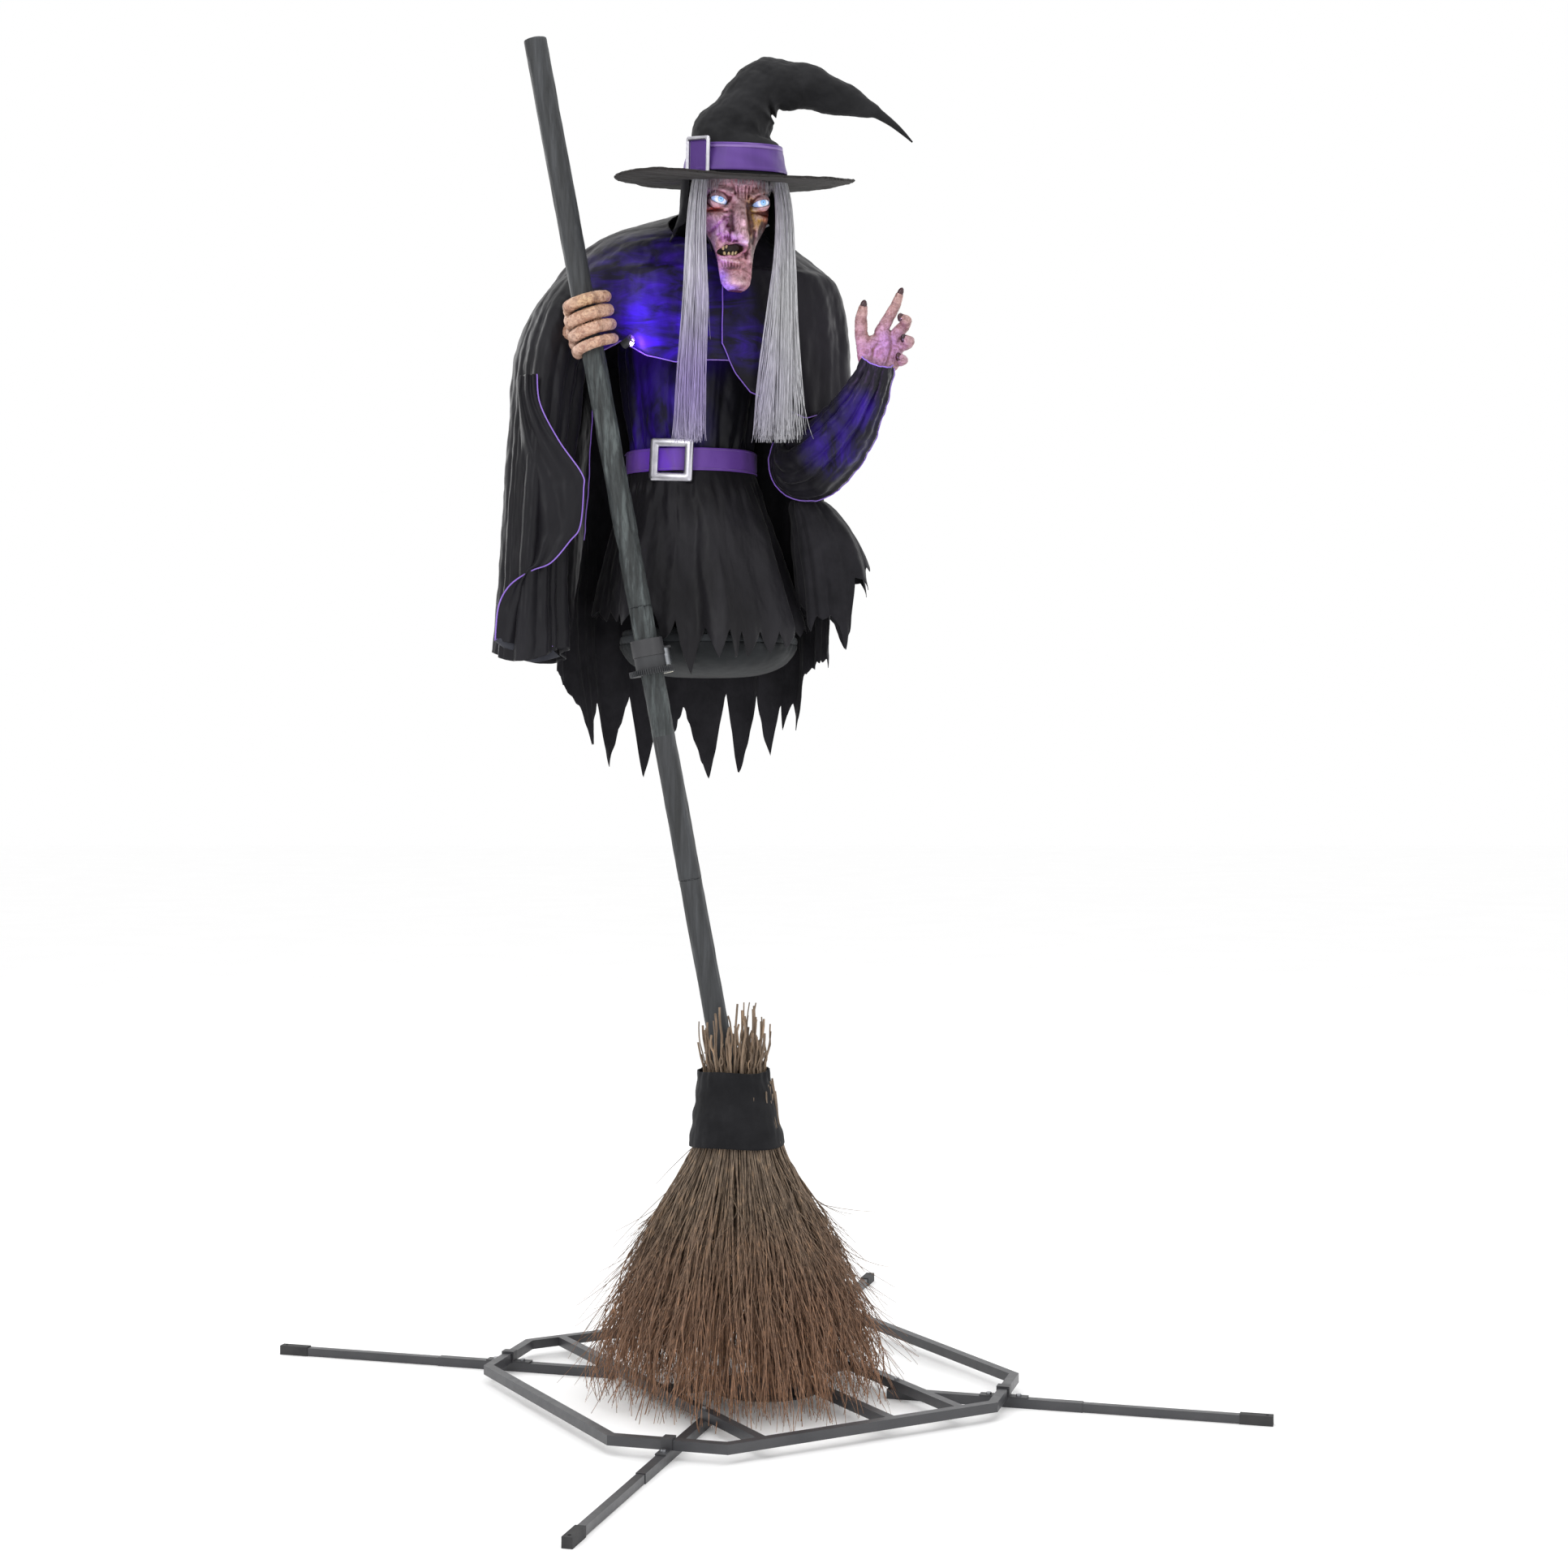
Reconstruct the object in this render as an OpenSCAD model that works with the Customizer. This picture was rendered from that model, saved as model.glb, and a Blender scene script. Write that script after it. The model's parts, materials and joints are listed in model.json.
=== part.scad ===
// Animated witch figure that hovers beside a tall leaning broomstick on a steel base.
// Millimetres, +Z up. The origin is the centre of the base, on the floor.

/* [Broomstick] */
// Lean of the broomstick from vertical, in degrees
lean = 10.44; // [9:0.02:12]
// Length of the broomstick along its own axis, from the floor
stick_len = 3712; // [3600:1:3800]
// Outside diameter of the handle shells
handle_d = 64; // [60:1:66]
// Outside diameter of the steel pole inside the shells
pole_d = 44; // [42:1:46]

/* [Base] */
// Half diagonal of the square frame before its corners are cut
frame_r = 850; // [800:5:900]
// How far each corner is cut back
frame_cut = 150; // [120:5:180]
// Distance from the centre to the tip of each leg
leg_reach = 1400; // [1300:5:1500]
// Side of the square tube
bar = 25; // [25:1:28]
// Turn of the base about the vertical, in degrees
base_turn = -15.6; // [-20:0.1:-10]

/* [Head] */
// Forward pitch of the head, in degrees
head_pitch = 9; // [7:0.5:10]
// Sideways roll of the head, in degrees
head_roll = 4; // [2:0.5:5]
// How far the face looks to its left, in degrees
face_turn = 12; // [0:1:15]
// Radius of the hat's brim
brim_r = 328; // [300:1:335]

/* [Hidden] */
$fn = 48;
FINE = 96;
SIDES = 28;

wall = 1.5;              // wall of the square tubes
half = bar / 2;
side_dist = frame_r / sqrt(2);   // centre to a long side of the frame
foot_x = 94;             // where the broomstick's axis meets the floor
rail_pitch = 290;        // outer floor rails, from the centre
centre_rail = foot_x * cos(45 + base_turn); // centre rail lies under the foot of the stick
socket_top = 330;        // along the stick
joint_1 = 1406;          // joints of the pole, along the stick
joint_2 = 2156;
joint_3 = 2933;
spigot = 100;            // length of each plug-in end
collar_at = 2020;        // where the figure's bracket runs on the stick
grip_at = 2933;          // middle of the gripping hand
gear_module = 2;
ring_teeth = 60;
pinion_teeth = 15;
head_module = 1.5;
head_teeth = 48;
head_pinion_teeth = 12;
hat_line = [-42, 100, 3290];   // centre of the brim
torso = [-165, 370];           // vertical axis of the torso
elbow = [218, 335, 2632];      // pivot of the raised forearm
wrist = [339, -10, 2722];

/* ---------- shared shapes ---------- */

module on_base(turn = 0) rotate([0, 0, base_turn + turn]) children();
module on_stick() translate([foot_x, 0, 0]) rotate([0, -lean, 0]) children();
module on_head() translate(hat_line) rotate([head_pitch, head_roll, 0]) children();

// A tube or ring along +Z from z0 to z1
module ring(z0, z1, r_out, r_in, fn = FINE) {
    translate([0, 0, z0]) difference() {
        cylinder(h = z1 - z0, r = r_out, $fn = fn);
        translate([0, 0, -1]) cylinder(h = z1 - z0 + 2, r = r_in, $fn = fn);
    }
}

// A round rod between two points
module rod(a, b, r) {
    d = b - a;
    translate(a)
        rotate([0, acos(d[2] / norm(d)), atan2(d[1], d[0])])
            cylinder(h = norm(d), r = r);
}

// A straight hollow square tube along +X, resting on z = 0
module square_tube(length, side) {
    difference() {
        translate([0, -side / 2, 0]) cube([length, side, side]);
        translate([-1, -side / 2 + wall, wall]) cube([length + 2, side - 2 * wall, side - 2 * wall]);
    }
}

// Outline of a spur gear with straight-flanked teeth
function gear_outline(teeth, m, slack) =
    [for (i = [0:teeth - 1]) for (k = [[-1.42, -1.25], [-0.56, 0.9], [0.56, 0.9], [1.42, -1.25]])
        let (a = (i + k[0] * slack / 4) * 360 / teeth, r = m * (teeth / 2 + k[1])) r * [cos(a), sin(a)]];

// A spur gear with an optional plain hub standing on it
module gear(teeth, m, thick, bore, hub_r = 0, hub_h = 0) {
    difference() {
        union() {
            linear_extrude(thick) polygon(gear_outline(teeth, m, 0.86));
            if (hub_h > 0) translate([0, 0, thick - 1]) cylinder(h = hub_h + 1, r = hub_r, $fn = FINE);
        }
        translate([0, 0, -1]) cylinder(h = thick + hub_h + 2, r = bore, $fn = FINE);
    }
}

// One cross-section of a draped shape: centre, direction of its axis, half width and half depth
function unit(v) = v / norm(v);
function ring_points(s, inset) =
    let (n = unit(s[1]), e1 = unit(cross([0, 1, 0], n)), e2 = cross(n, e1))
    [for (i = [0:SIDES - 1]) let (a = 360 * i / SIDES)
        s[0] + (s[2] - inset) * cos(a) * e1 + (s[3] - inset) * sin(a) * e2];

// A skin of even thickness through a list of cross-sections, open at both ends
module skin(sections, thick) {
    n = len(sections);
    outer = [for (s = sections) each ring_points(s, 0)];
    inner = [for (s = sections) each ring_points(s, thick)];
    m = n * SIDES;
    function q(a, b, c, d) = [[a, b, c], [a, c, d]];
    walls = [for (k = [0:n - 2]) for (i = [0:SIDES - 1])
        let (j = (i + 1) % SIDES, a = k * SIDES + i, b = k * SIDES + j, c = a + SIDES, d = b + SIDES)
        each concat(q(a, c, d, b), q(m + a, m + b, m + d, m + c))];
    rims = [for (i = [0:SIDES - 1])
        let (j = (i + 1) % SIDES, t = (n - 1) * SIDES)
        each concat(q(i, j, m + j, m + i), q(t + i, m + t + i, m + t + j, t + j))];
    polyhedron(concat(outer, inner), concat(walls, rims));
}

// A closed solid through the same kind of cross-sections
module loft(sections) {
    n = len(sections);
    points = [for (s = sections) each ring_points(s, 0)];
    walls = [for (k = [0:n - 2]) for (i = [0:SIDES - 1])
        let (j = (i + 1) % SIDES, a = k * SIDES + i, b = k * SIDES + j, c = a + SIDES, d = b + SIDES)
        each [[a, c, d], [a, d, b]]];
    ends = [[for (i = [0:SIDES - 1]) i], [for (i = [SIDES - 1:-1:0]) (n - 1) * SIDES + i]];
    polyhedron(points, concat(walls, ends));
}

function level(x, y, z, rx, ry) = [[x, y, z], [0, 0, 1], rx, ry];

/* ---------- base ---------- */

// Corner of the frame's outline, grown by w
function frame_corner(w) = [frame_r - frame_cut + w, frame_cut + (sqrt(2) - 1) * w];
function swap(p) = [p[1], p[0]];
function frame_side(w, gap) = let (r = frame_r - frame_cut)
    [[r + w, gap], frame_corner(w), swap(frame_corner(w)), [gap, r + w],
     [gap, r - w], swap(frame_corner(-w)), frame_corner(-w), [r - w, gap]];

module frame_tubes() color("#3b3a3d") each_leg() translate([0, 0, bar]) difference() {
    linear_extrude(bar) polygon(frame_side(half, 0.5));
    translate([0, 0, wall]) linear_extrude(bar - 2 * wall) polygon(frame_side(half - wall, -1));
}

// Two outer rails and a centre rail between the frame's long sides, and two braces that stiffen the centre
module floor_rails() {
    span = 2 * (side_dist - half);
    color("#3b3a3d") on_base(-45) translate([0, 0, bar]) {
        for (y = [-1, 1]) difference() {
            translate([-span / 2, y * rail_pitch, 0]) square_tube(span, bar);
            for (x = [-1, 1]) translate([x * rail_pitch, y * rail_pitch, -1])
                cylinder(h = bar + 2, r = 4.2);
        }
        translate([-span / 2, centre_rail, 0]) square_tube(span, bar);
        brace_x = foot_x * sin(45 + base_turn);
        translate([brace_x, centre_rail + half + 0.2, 0]) rotate([0, 0, 90])
            square_tube(rail_pitch - centre_rail - bar - 0.4, bar);
        translate([brace_x, half - rail_pitch + 0.2, 0]) rotate([0, 0, 90])
            square_tube(rail_pitch + centre_rail - bar - 0.4, bar);
    }
}

inner_end = 385;
socket_end = 910;
ext_side = bar - 2 * wall - 0.5;

module each_leg() for (k = [0:3]) on_base(90 * k) children();

module leg_sockets() color("#3b3a3d") each_leg() difference() {
    translate([inner_end, 0, 0]) square_tube(socket_end - inner_end, bar);
    for (x = [rail_pitch * sqrt(2), 660, 740])
        translate([x, 0, -1]) cylinder(h = bar + 2, r = 4.2);
}

module leg_extensions() color("#3b3a3d") each_leg()
    translate([780, 0, (bar - ext_side) / 2]) square_tube(leg_reach - 35 - 780, ext_side);

// Moulded shoe on each leg tip, with a hole for a ground stake
stake_r = 4.5;
stake_at = leg_reach - 15;
module leg_shoes() color("#1c1c1e") each_leg() difference() {
    translate([leg_reach - 85, -half - 0.5, 0]) cube([85, bar + 1, bar + 1]);
    translate([leg_reach - 86, -ext_side / 2 - 0.1, half - ext_side / 2 - 0.1])
        cube([52, ext_side + 0.2, ext_side + 0.2]);
    translate([stake_at, 0, -1]) cylinder(h = bar + 3, r = stake_r, $fn = FINE);
}

// Saddle over the frame at each leg, held by two bolts into the leg
module saddle_clamps() color("#2a2a2d") each_leg() {
    x = frame_r - frame_cut;
    difference() {
        union() {
            for (s = [-1, 1]) translate([x + s * 40 - 24, -14, bar + 0.2]) cube([48, 28, 4]);
            translate([x - half - 5, -14, bar + 0.2]) cube([bar + 10, 28, bar + 5]);
        }
        translate([x - half - 0.3, -20, bar - 1]) cube([bar + 0.6, 40, bar + 1.3]);
        for (s = [-1, 1]) translate([x + s * 40, 0, bar - 1]) cylinder(h = 8, r = 4.2);
    }
}

// A hexagon-headed bolt pointing down from z = 0, with its nut
module bolt(r, shank, nut_at) {
    cylinder(h = 5.3, r = 1.75 * r, $fn = 6);
    translate([0, 0, -shank]) cylinder(h = shank + 1, r = r);
    translate([0, 0, -nut_at - 5]) cylinder(h = 5, r = 1.75 * r, $fn = 6);
}

module base_bolts() color("#8d8f92") each_leg() {
    for (s = [-1, 1]) translate([frame_r - frame_cut + s * 40, 0, bar + 4.3]) bolt(4, bar, 21);
    translate([rail_pitch * sqrt(2), 0, 2 * bar + 0.1]) bolt(4, 44, 41);
}

// Round steel plate on the floor under the foot of the stick
module ground_plate() color("#2a2a2d") {
    translate([foot_x / 2, 0, 0]) cylinder(h = 6, r = 150, $fn = FINE);
    translate([foot_x, 0, 5]) on_base(-45) translate([-40, -half, 0]) cube([80, bar, bar - 5.1]);
}

// Leaning socket welded to a plate on the centre rail
module pole_socket() color("#2a2a2d") difference() {
    union() {
        translate([foot_x - 80, -60, 2 * bar + 0.1]) cube([160, 120, 6]);
        on_stick() translate([0, 0, 40]) cylinder(h = socket_top - 48, r = pole_d / 2 + 5, $fn = FINE);
        for (y = [-3, 3]) translate([foot_x, y, 2 * bar]) rotate([90, 0, 0])
            linear_extrude(5, center = true) polygon([[-78, 2], [78, 2], [-4, 190], [-36, 190]]);
    }
    on_stick() translate([0, 0, 70]) cylinder(h = 500, r = pole_d / 2 + 0.1, $fn = FINE);
    translate([-500, -500, -100]) cube([1000, 1000, 100 + 2 * bar + 0.1]);
    on_stick() translate([0, -60, 240]) rotate([-90, 0, 0]) cylinder(h = 120, r = 5.2);
}

module socket_bolt() color("#8d8f92") on_stick() translate([0, 0, 240]) {
    rotate([-90, 0, 0]) translate([0, 0, -36]) cylinder(h = 76, r = 5);
    rotate([-90, 0, 0]) translate([0, 0, -42]) cylinder(h = 7, r = 9, $fn = 6);
    rotate([-90, 0, 0]) translate([0, 0, 32]) cylinder(h = 7, r = 9, $fn = 6);
}

/* ---------- broomstick ---------- */

button_r = 4;
module button_hole(s, r) translate([0, 0, s]) rotate([-90, 0, 0]) cylinder(h = handle_d, r = r);

// Steel pole section with a plug-in lower end
module pole_section(s0, s1, plug, holes) {
    color("#9a9da1") on_stick() difference() {
        union() {
            ring(s0, s1, pole_d / 2, pole_d / 2 - 2);
            if (plug) {
                ring(s0 - spigot, s0 + 10, pole_d / 2 - 2.1, pole_d / 2 - 4.5);
                ring(s0, s0 + 10, pole_d / 2 - 1, pole_d / 2 - 4);
            }
        }
        for (s = holes) button_hole(s, button_r + 0.2);
        if (!plug) translate([0, -60, 240]) rotate([-90, 0, 0]) cylinder(h = 120, r = 5.2);
    }
}

// Wood-look shell over the pole, held by a ring at each end
module handle_shell(s0, s1, button) {
    r = handle_d / 2;
    color("#3d4142") on_stick() difference() {
        union() {
            ring(s0, s1, r, r - 3.5);
            for (s = [s0, s1 - 14]) ring(s, s + 14, r - 1, pole_d / 2 + 0.15);
        }
        if (button > 0) button_hole(button, 8);
    }
}

module handle_cap() on_stick() translate([0, 0, stick_len - 10]) {
    cylinder(h = 10, r = handle_d / 2, $fn = FINE);
    translate([0, 0, -20]) cylinder(h = 21, r = pole_d / 2 - 2.2, $fn = FINE);
}

module snap_button(s) color("#c9ccd0") on_stick() translate([0, 0, s]) rotate([-90, 0, 0]) {
    translate([0, 0, pole_d / 2 - 8]) cylinder(h = 12, r = button_r);
    translate([0, 0, pole_d / 2 - 8]) cylinder(h = 2, r = button_r + 2);
}

// Twigs: a flared bundle below the binding and short ends above it, both round the stick
module twig_bundle() color("#5b4534") skin([
    level(-24, -60, 70, 388, 420), level(-25, -45, 220, 350, 345), level(-27, -22, 400, 268, 252),
    level(-30, -6, 560, 176, 156), level(-33, 0, 664, 123, 111), level(-38, 0, 760, 106, 99),
    level(-42, 0, 862, 91, 88), level(-34, 0, 940, 104, 96), level(-30, 0, 1005, 110, 100)], 8);

module broom_binding() color("#232325") skin([
    level(-34, 0, 662, 132, 118), level(-39, 0, 760, 113, 105),
    level(-43, 0, 862, 97, 93), level(-43, 0, 866, 97, 93)], 4);

/* ---------- sway drive ---------- */

pinion_turn = 60;   // where the pinion stands round the stick
gear_step = gear_module * (ring_teeth + pinion_teeth) / 2;
module sway_gear() color("#d8d4c4") on_stick() translate([0, 0, collar_at - 50])
    rotate([0, 0, pinion_turn]) gear(ring_teeth, gear_module, 15, handle_d / 2 + 0.05, 42, 34.5);

module on_sway_pinion() on_stick() rotate([0, 0, pinion_turn]) translate([gear_step, 0, collar_at - 50])
    children();

module sway_pinion() color("#d8d4c4") on_sway_pinion() {
    rotate([0, 0, 180 + 180 / pinion_teeth]) gear(pinion_teeth, gear_module, 14, 4);
    translate([0, 0, 1]) cylinder(h = 20, r = 4.05);
}

module sway_motor() color("#55585c") on_sway_pinion() difference() {
    union() {
        translate([0, 0, 22]) cylinder(h = 46, r = 18);
        translate([0, 0, 68]) cylinder(h = 8, r = 6);
    }
    translate([0, 0, 21]) cylinder(h = 12, r = 4.3);
}

/* ---------- inner frame of the figure ---------- */

seat = [-121, 330, 2030];
arm_from = [-281, 80, seat[2] - 5];
arm_to = [seat[0] - 60, seat[1] - 60, seat[2] - 5];
module seat_bracket() color("#2a2a2d") difference() {
    union() {
        on_stick() ring(collar_at, collar_at + 46, 44, handle_d / 2 + 1);
        on_stick() translate([-22, 36, collar_at + 2]) cube([40, 60, 40]);
        on_stick() translate([10, 48, collar_at + 18.5]) cube([50, 36, 4]);
        rod(arm_from, arm_to, 13);
    }
    on_stick() translate([0, 0, collar_at - 1]) cylinder(h = 48, r = handle_d / 2 + 0.4, $fn = FINE);
    translate([seat[0], seat[1], seat[2] - 60]) cylinder(h = 100, r = 119.5);
    on_sway_pinion() translate([0, 0, 60]) cylinder(h = 40, r = 6.2);
}

// Round board that carries the spine
module seat_plate() color("#a08560") difference() {
    translate([seat[0], seat[1], seat[2] - 20]) cylinder(h = 30, r = 119.5);
    translate([torso[0] + 15, torso[1], seat[2] - 30]) cylinder(h = 50, r = 16.1);
}

// Soft closed underside of the figure
module seat_pan() color("#232426") difference() {
    translate([seat[0], seat[1], 0]) rotate_extrude($fn = 64) polygon([
        [0, 1938], [120, 1942], [190, 1958], [238, 1990], [252, 2030], [250, 2072],
        [236, 2072], [238, 2030], [224, 1998], [180, 1974], [118, 1960], [0, 1956]]);
    rod(arm_from, arm_to, 16);
}

spine_x = torso[0] + 15;
shoulder_z = 3040;
module spine_frame() color("#8d8f92") {
    translate([spine_x, torso[1], seat[2] - 19]) cylinder(h = shoulder_z - seat[2] + 6.4, r = 16);
    neck_root = hat_line + head_axis * -262;
    rod([spine_x, torso[1], shoulder_z - 32], neck_root, 13);
    on_head() translate([0, 0, -268]) cylinder(h = 128, r = 12);
    on_head() translate([0, 0, -184]) cylinder(h = 7.5, r = 18);
}
head_axis = [cos(head_pitch) * sin(head_roll), -sin(head_pitch), cos(head_pitch) * cos(head_roll)];

// Wire hoops that hold the costume out, each on two spokes from a clip on the spine
module hoop(z, r) translate([spine_x, torso[1], z]) {
    rotate_extrude($fn = FINE) translate([r, 0]) circle(r = 4);
    for (a = [10, 170]) rotate([0, 90, a]) translate([0, 0, 20]) cylinder(h = r - 20, r = 3);
    ring(-12, 12, 22, 16.1);
}
module costume_hoops() color("#8d8f92") {
    hoop(2190, 175);
    hoop(2535, 105);
    hoop(2820, 138);
}

right_shoulder = [spine_x - 235, torso[1], shoulder_z];
right_elbow = [-585, 265, 2760];
right_wrist = [-505, 82, 2858];
module arm_frame() color("#8d8f92") {
    rod(right_shoulder, [spine_x + 225, torso[1], shoulder_z], 12.5);
    rod(right_shoulder, right_elbow, 11);
    translate(right_elbow) sphere(r = 14);
    rod(right_elbow, right_wrist, 11);
    rod([spine_x + 225, torso[1], shoulder_z], elbow + [2, 8, 38], 11);
    translate(elbow) for (x = [-18, 16]) translate([x, 0, 0]) difference() {
        union() {
            rotate([0, 90, 0]) cylinder(h = 8, r = 20);
            translate([0, -14, 0]) cube([8, 40, 40]);
        }
        translate([-1, 0, 0]) rotate([0, 90, 0]) cylinder(h = 10, r = 5.05);
    }
    translate(elbow + [-18, -14, 26]) cube([42, 40, 12]);
}

/* ---------- electronics ---------- */

box_at = [spine_x - 75, torso[1] + 32, 2290];
module control_box() color("#2b2c30") translate(box_at) difference() {
    union() {
        cube([150, 62, 190]);
        for (z = [30, 130]) translate([60, -15.9, z]) cube([30, 17, 24]);
        for (x = [7, 138]) translate([x, 61, 20]) cube([5, 6, 165]);
    }
    translate([4, 4, 4]) cube([142, 54, 182]);
    translate([22, 50, 70]) cube([106, 20, 100]);
    translate([30, 31, -1]) cube([24, 12, 6]);
    translate([110, 36, -1]) cylinder(h = 6, r = 5.5);
}

// Cover that slides down between two guides
module battery_door() color("#333439") translate(box_at) {
    translate([12.5, 62.2, 66]) cube([125, 3, 114]);
    for (z = [84, 90, 96]) translate([55, 65, z]) cube([40, 2, 2.5]);
}

module power_switch() color("#b4232a") translate(box_at) translate([34, 32, -4]) cube([8, 10, 10]);

module speaker() color("#17181a") translate([spine_x, 242, 2700]) rotate([90, 0, 0]) {
    difference() {
        cylinder(h = 22, r = 52);
        translate([0, 0, 4]) cylinder(h = 20, r = 46);
    }
    for (a = [0, 60, 120]) rotate([0, 0, a]) translate([-47, -2, 18]) cube([94, 4, 3]);
    translate([0, 0, -30]) cylinder(h = 31, r = 28);
}

// Small light that shines across the chest from the edge of the cape
module spotlight() color("#2a2a2d") translate([-345, 60, 2838]) rotate([60, 0, 60]) difference() {
    cylinder(h = 34, r = 12);
    translate([0, 0, 28]) cylinder(h = 10, r = 10);
}

/* ---------- costume ---------- */

module bodice() color("#17161b") skin([
    level(-172, 350, 2575, 168, 132), level(-170, 352, 2700, 190, 150),
    level(-165, 362, 2860, 212, 168), level(-160, 370, 2960, 200, 160),
    level(-157, 370, 2994, 184, 152)], 4);

module belt() color("#6b4aa8") skin([
    level(-172, 348, 2520, 180, 144), level(-172, 348, 2545, 177, 141),
    level(-172, 350, 2572, 179, 143)], 3.5);

module belt_buckle() color("#c9c7d6") translate([-219, 196, 2542]) rotate([90, 3, -14]) difference() {
    linear_extrude(7) square([126, 118], center = true);
    translate([0, 0, -1]) linear_extrude(9) square([82, 74], center = true);
}

module skirt() color("#1d1c1f") skin([
    level(-150, 345, 2085, 285, 270), level(-158, 345, 2200, 262, 240),
    level(-165, 345, 2350, 225, 195), level(-172, 348, 2517, 178, 142)], 4);

// Long robe that hangs behind the figure from under the cape to a ragged tail
robe_z = [1662, 2060, 2840];
module back_skirt() color("#1d1c1f") translate([-150, 330, robe_z[0]]) intersection() {
    difference() {
        cylinder(h = robe_z[2] - robe_z[0], r1 = 325, r2 = 300, $fn = 64);
        translate([0, 0, -1]) cylinder(h = robe_z[2] - robe_z[0] + 2, r1 = 320, r2 = 295, $fn = 64);
    }
    union() {
        translate([-400, 20, -2]) cube([800, 400, robe_z[1] - robe_z[0]]);
        translate([-400, 115, 0]) cube([800, 400, robe_z[2] - robe_z[0] + 5]);
    }
}

// Cloth over the bent knee at the figure's left side
module hip_drape() color("#1d1c1f") skin([
    level(240, 300, 2064, 94, 105), level(232, 300, 2200, 98, 108),
    level(205, 305, 2330, 78, 100), level(160, 310, 2420, 36, 70)], 4);

module cape() color("#141318") skin([
    level(-175, 355, 2850, 455, 262), level(-170, 350, 2960, 440, 258), level(-162, 345, 3060, 400, 245),
    [[-150, 325, 3120], [0.06, -0.25, 1], 330, 228], [[-128, 285, 3150], [0.12, -0.35, 0.94], 235, 205],
    [[-85, 220, 3160], [0.06, -0.5, 0.86], 132, 155]], 4);

module sleeve_right() color("#141318") skin([
    level(-606, 130, 1985, 98, 96), level(-598, 130, 2200, 76, 92),
    level(-586, 140, 2450, 72, 100), level(-572, 160, 2650, 74, 112),
    level(-562, 190, 2790, 80, 124), level(-546, 210, 2830, 64, 114)], 4);

module sleeve_left() color("#141318") skin([
    [[222, 350, 2720], [0.1, -0.1, 1], 78, 80], [[214, 352, 2790], [-0.2, 0, 1], 80, 84],
    [[188, 356, 2836], [-0.3, 0, 1], 72, 84]], 4);

/* ---------- hands ---------- */

grip_r = handle_d / 2 + 3;
module finger(s, from, sweep, r) translate([0, 0, s]) rotate([0, 0, from])
    rotate_extrude(angle = sweep, $fn = 64) translate([grip_r + r, 0]) circle(r = r, $fn = 24);

module right_hand() color("#c4a184") difference() {
    on_stick() translate([0, 0, grip_at]) {
        for (i = [0:3]) finger(-54 + 36 * i, 165, 215, 17 - (i == 0 ? 2 : 0));
        rotate([0, 0, 75]) rotate_extrude(angle = 95, $fn = 64) translate([grip_r, -72]) square([30, 140]);
        ring(-74, 74, grip_r + 3, handle_d / 2 + 0.4);
        translate([-70, 62, -30]) sphere(r = 30);
    }
    rod(right_elbow, right_wrist + 0.03 * (right_wrist - right_elbow), 11.2);
}

forearm_dir = unit(wrist - elbow);
module forearm_frame() color("#8d8f92") {
    translate(elbow - [16, 0, 0]) rotate([0, 90, 0]) cylinder(h = 39, r = 5);
    translate(elbow - [9, 0, 0]) rotate([0, 90, 0]) cylinder(h = 24, r = 13);
    rod(elbow + 8 * forearm_dir, wrist, 7);
}

// Bell of the sleeve on the raised forearm
module left_cuff() color("#141318") skin([
    [[232, 262, 2612], [0.32, -0.94, 0.1], 64, 72], [[262, 180, 2620], [0.32, -0.94, 0.1], 80, 92],
    [[300, 80, 2644], [0.3, -0.9, 0.3], 76, 100], [[326, 20, 2680], [0.25, -0.8, 0.5], 58, 74]], 4);

module digit(a, b, c, r) {
    hull() {
        translate(a) sphere(r = r, $fn = 16);
        translate(b) sphere(r = r * 0.9, $fn = 16);
    }
    hull() {
        translate(b) sphere(r = r * 0.9, $fn = 16);
        translate(c) sphere(r = r * 0.7, $fn = 16);
    }
}

module left_hand() color("#c49ab4") difference() {
    translate(wrist) {
        hull() {
            translate([2, 0, 14]) sphere(r = 30, $fn = 20);
            translate([-8, -4, 70]) sphere(r = 28, $fn = 20);
            translate([44, 0, 92]) sphere(r = 26, $fn = 20);
            translate([46, 0, 46]) sphere(r = 26, $fn = 20);
        }
        digit([-18, -6, 60], [-34, -20, 104], [-30, -42, 142], 17);
        digit([40, 0, 110], [58, -4, 168], [64, -20, 214], 15);
        digit([56, 0, 96], [84, -10, 128], [88, -36, 146], 15);
        digit([64, 0, 70], [94, -10, 88], [98, -38, 96], 15);
        digit([60, 0, 44], [84, -8, 48], [92, -36, 50], 14);
    }
    rod(elbow, wrist + 2 * forearm_dir, 7.2);
}

/* ---------- head ---------- */

module on_face() on_head() rotate([0, 0, face_turn]) children();

// Half-profile of the head, radius against height below the brim
head_out = [[0, 96], [60, 88], [98, 60], [118, 16], [120, -30], [116, -90], [108, -140], [100, -185]];
module head_bell(thick) {
    n = len(head_out);
    rotate_extrude($fn = FINE)
        polygon(concat(head_out, [for (i = [n - 1:-1:0])
            [max(0, head_out[i][0] - thick), head_out[i][1] - (i == 0 ? thick : 0)]]));
}

eye_r = 19;
eye_x = [-55, 62];
jaw_pivot = [0, -20, -130];
module eyes() color("#cfe6ff") on_face()
    for (x = eye_x) translate([x, -92, -54]) sphere(r = eye_r);

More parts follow.
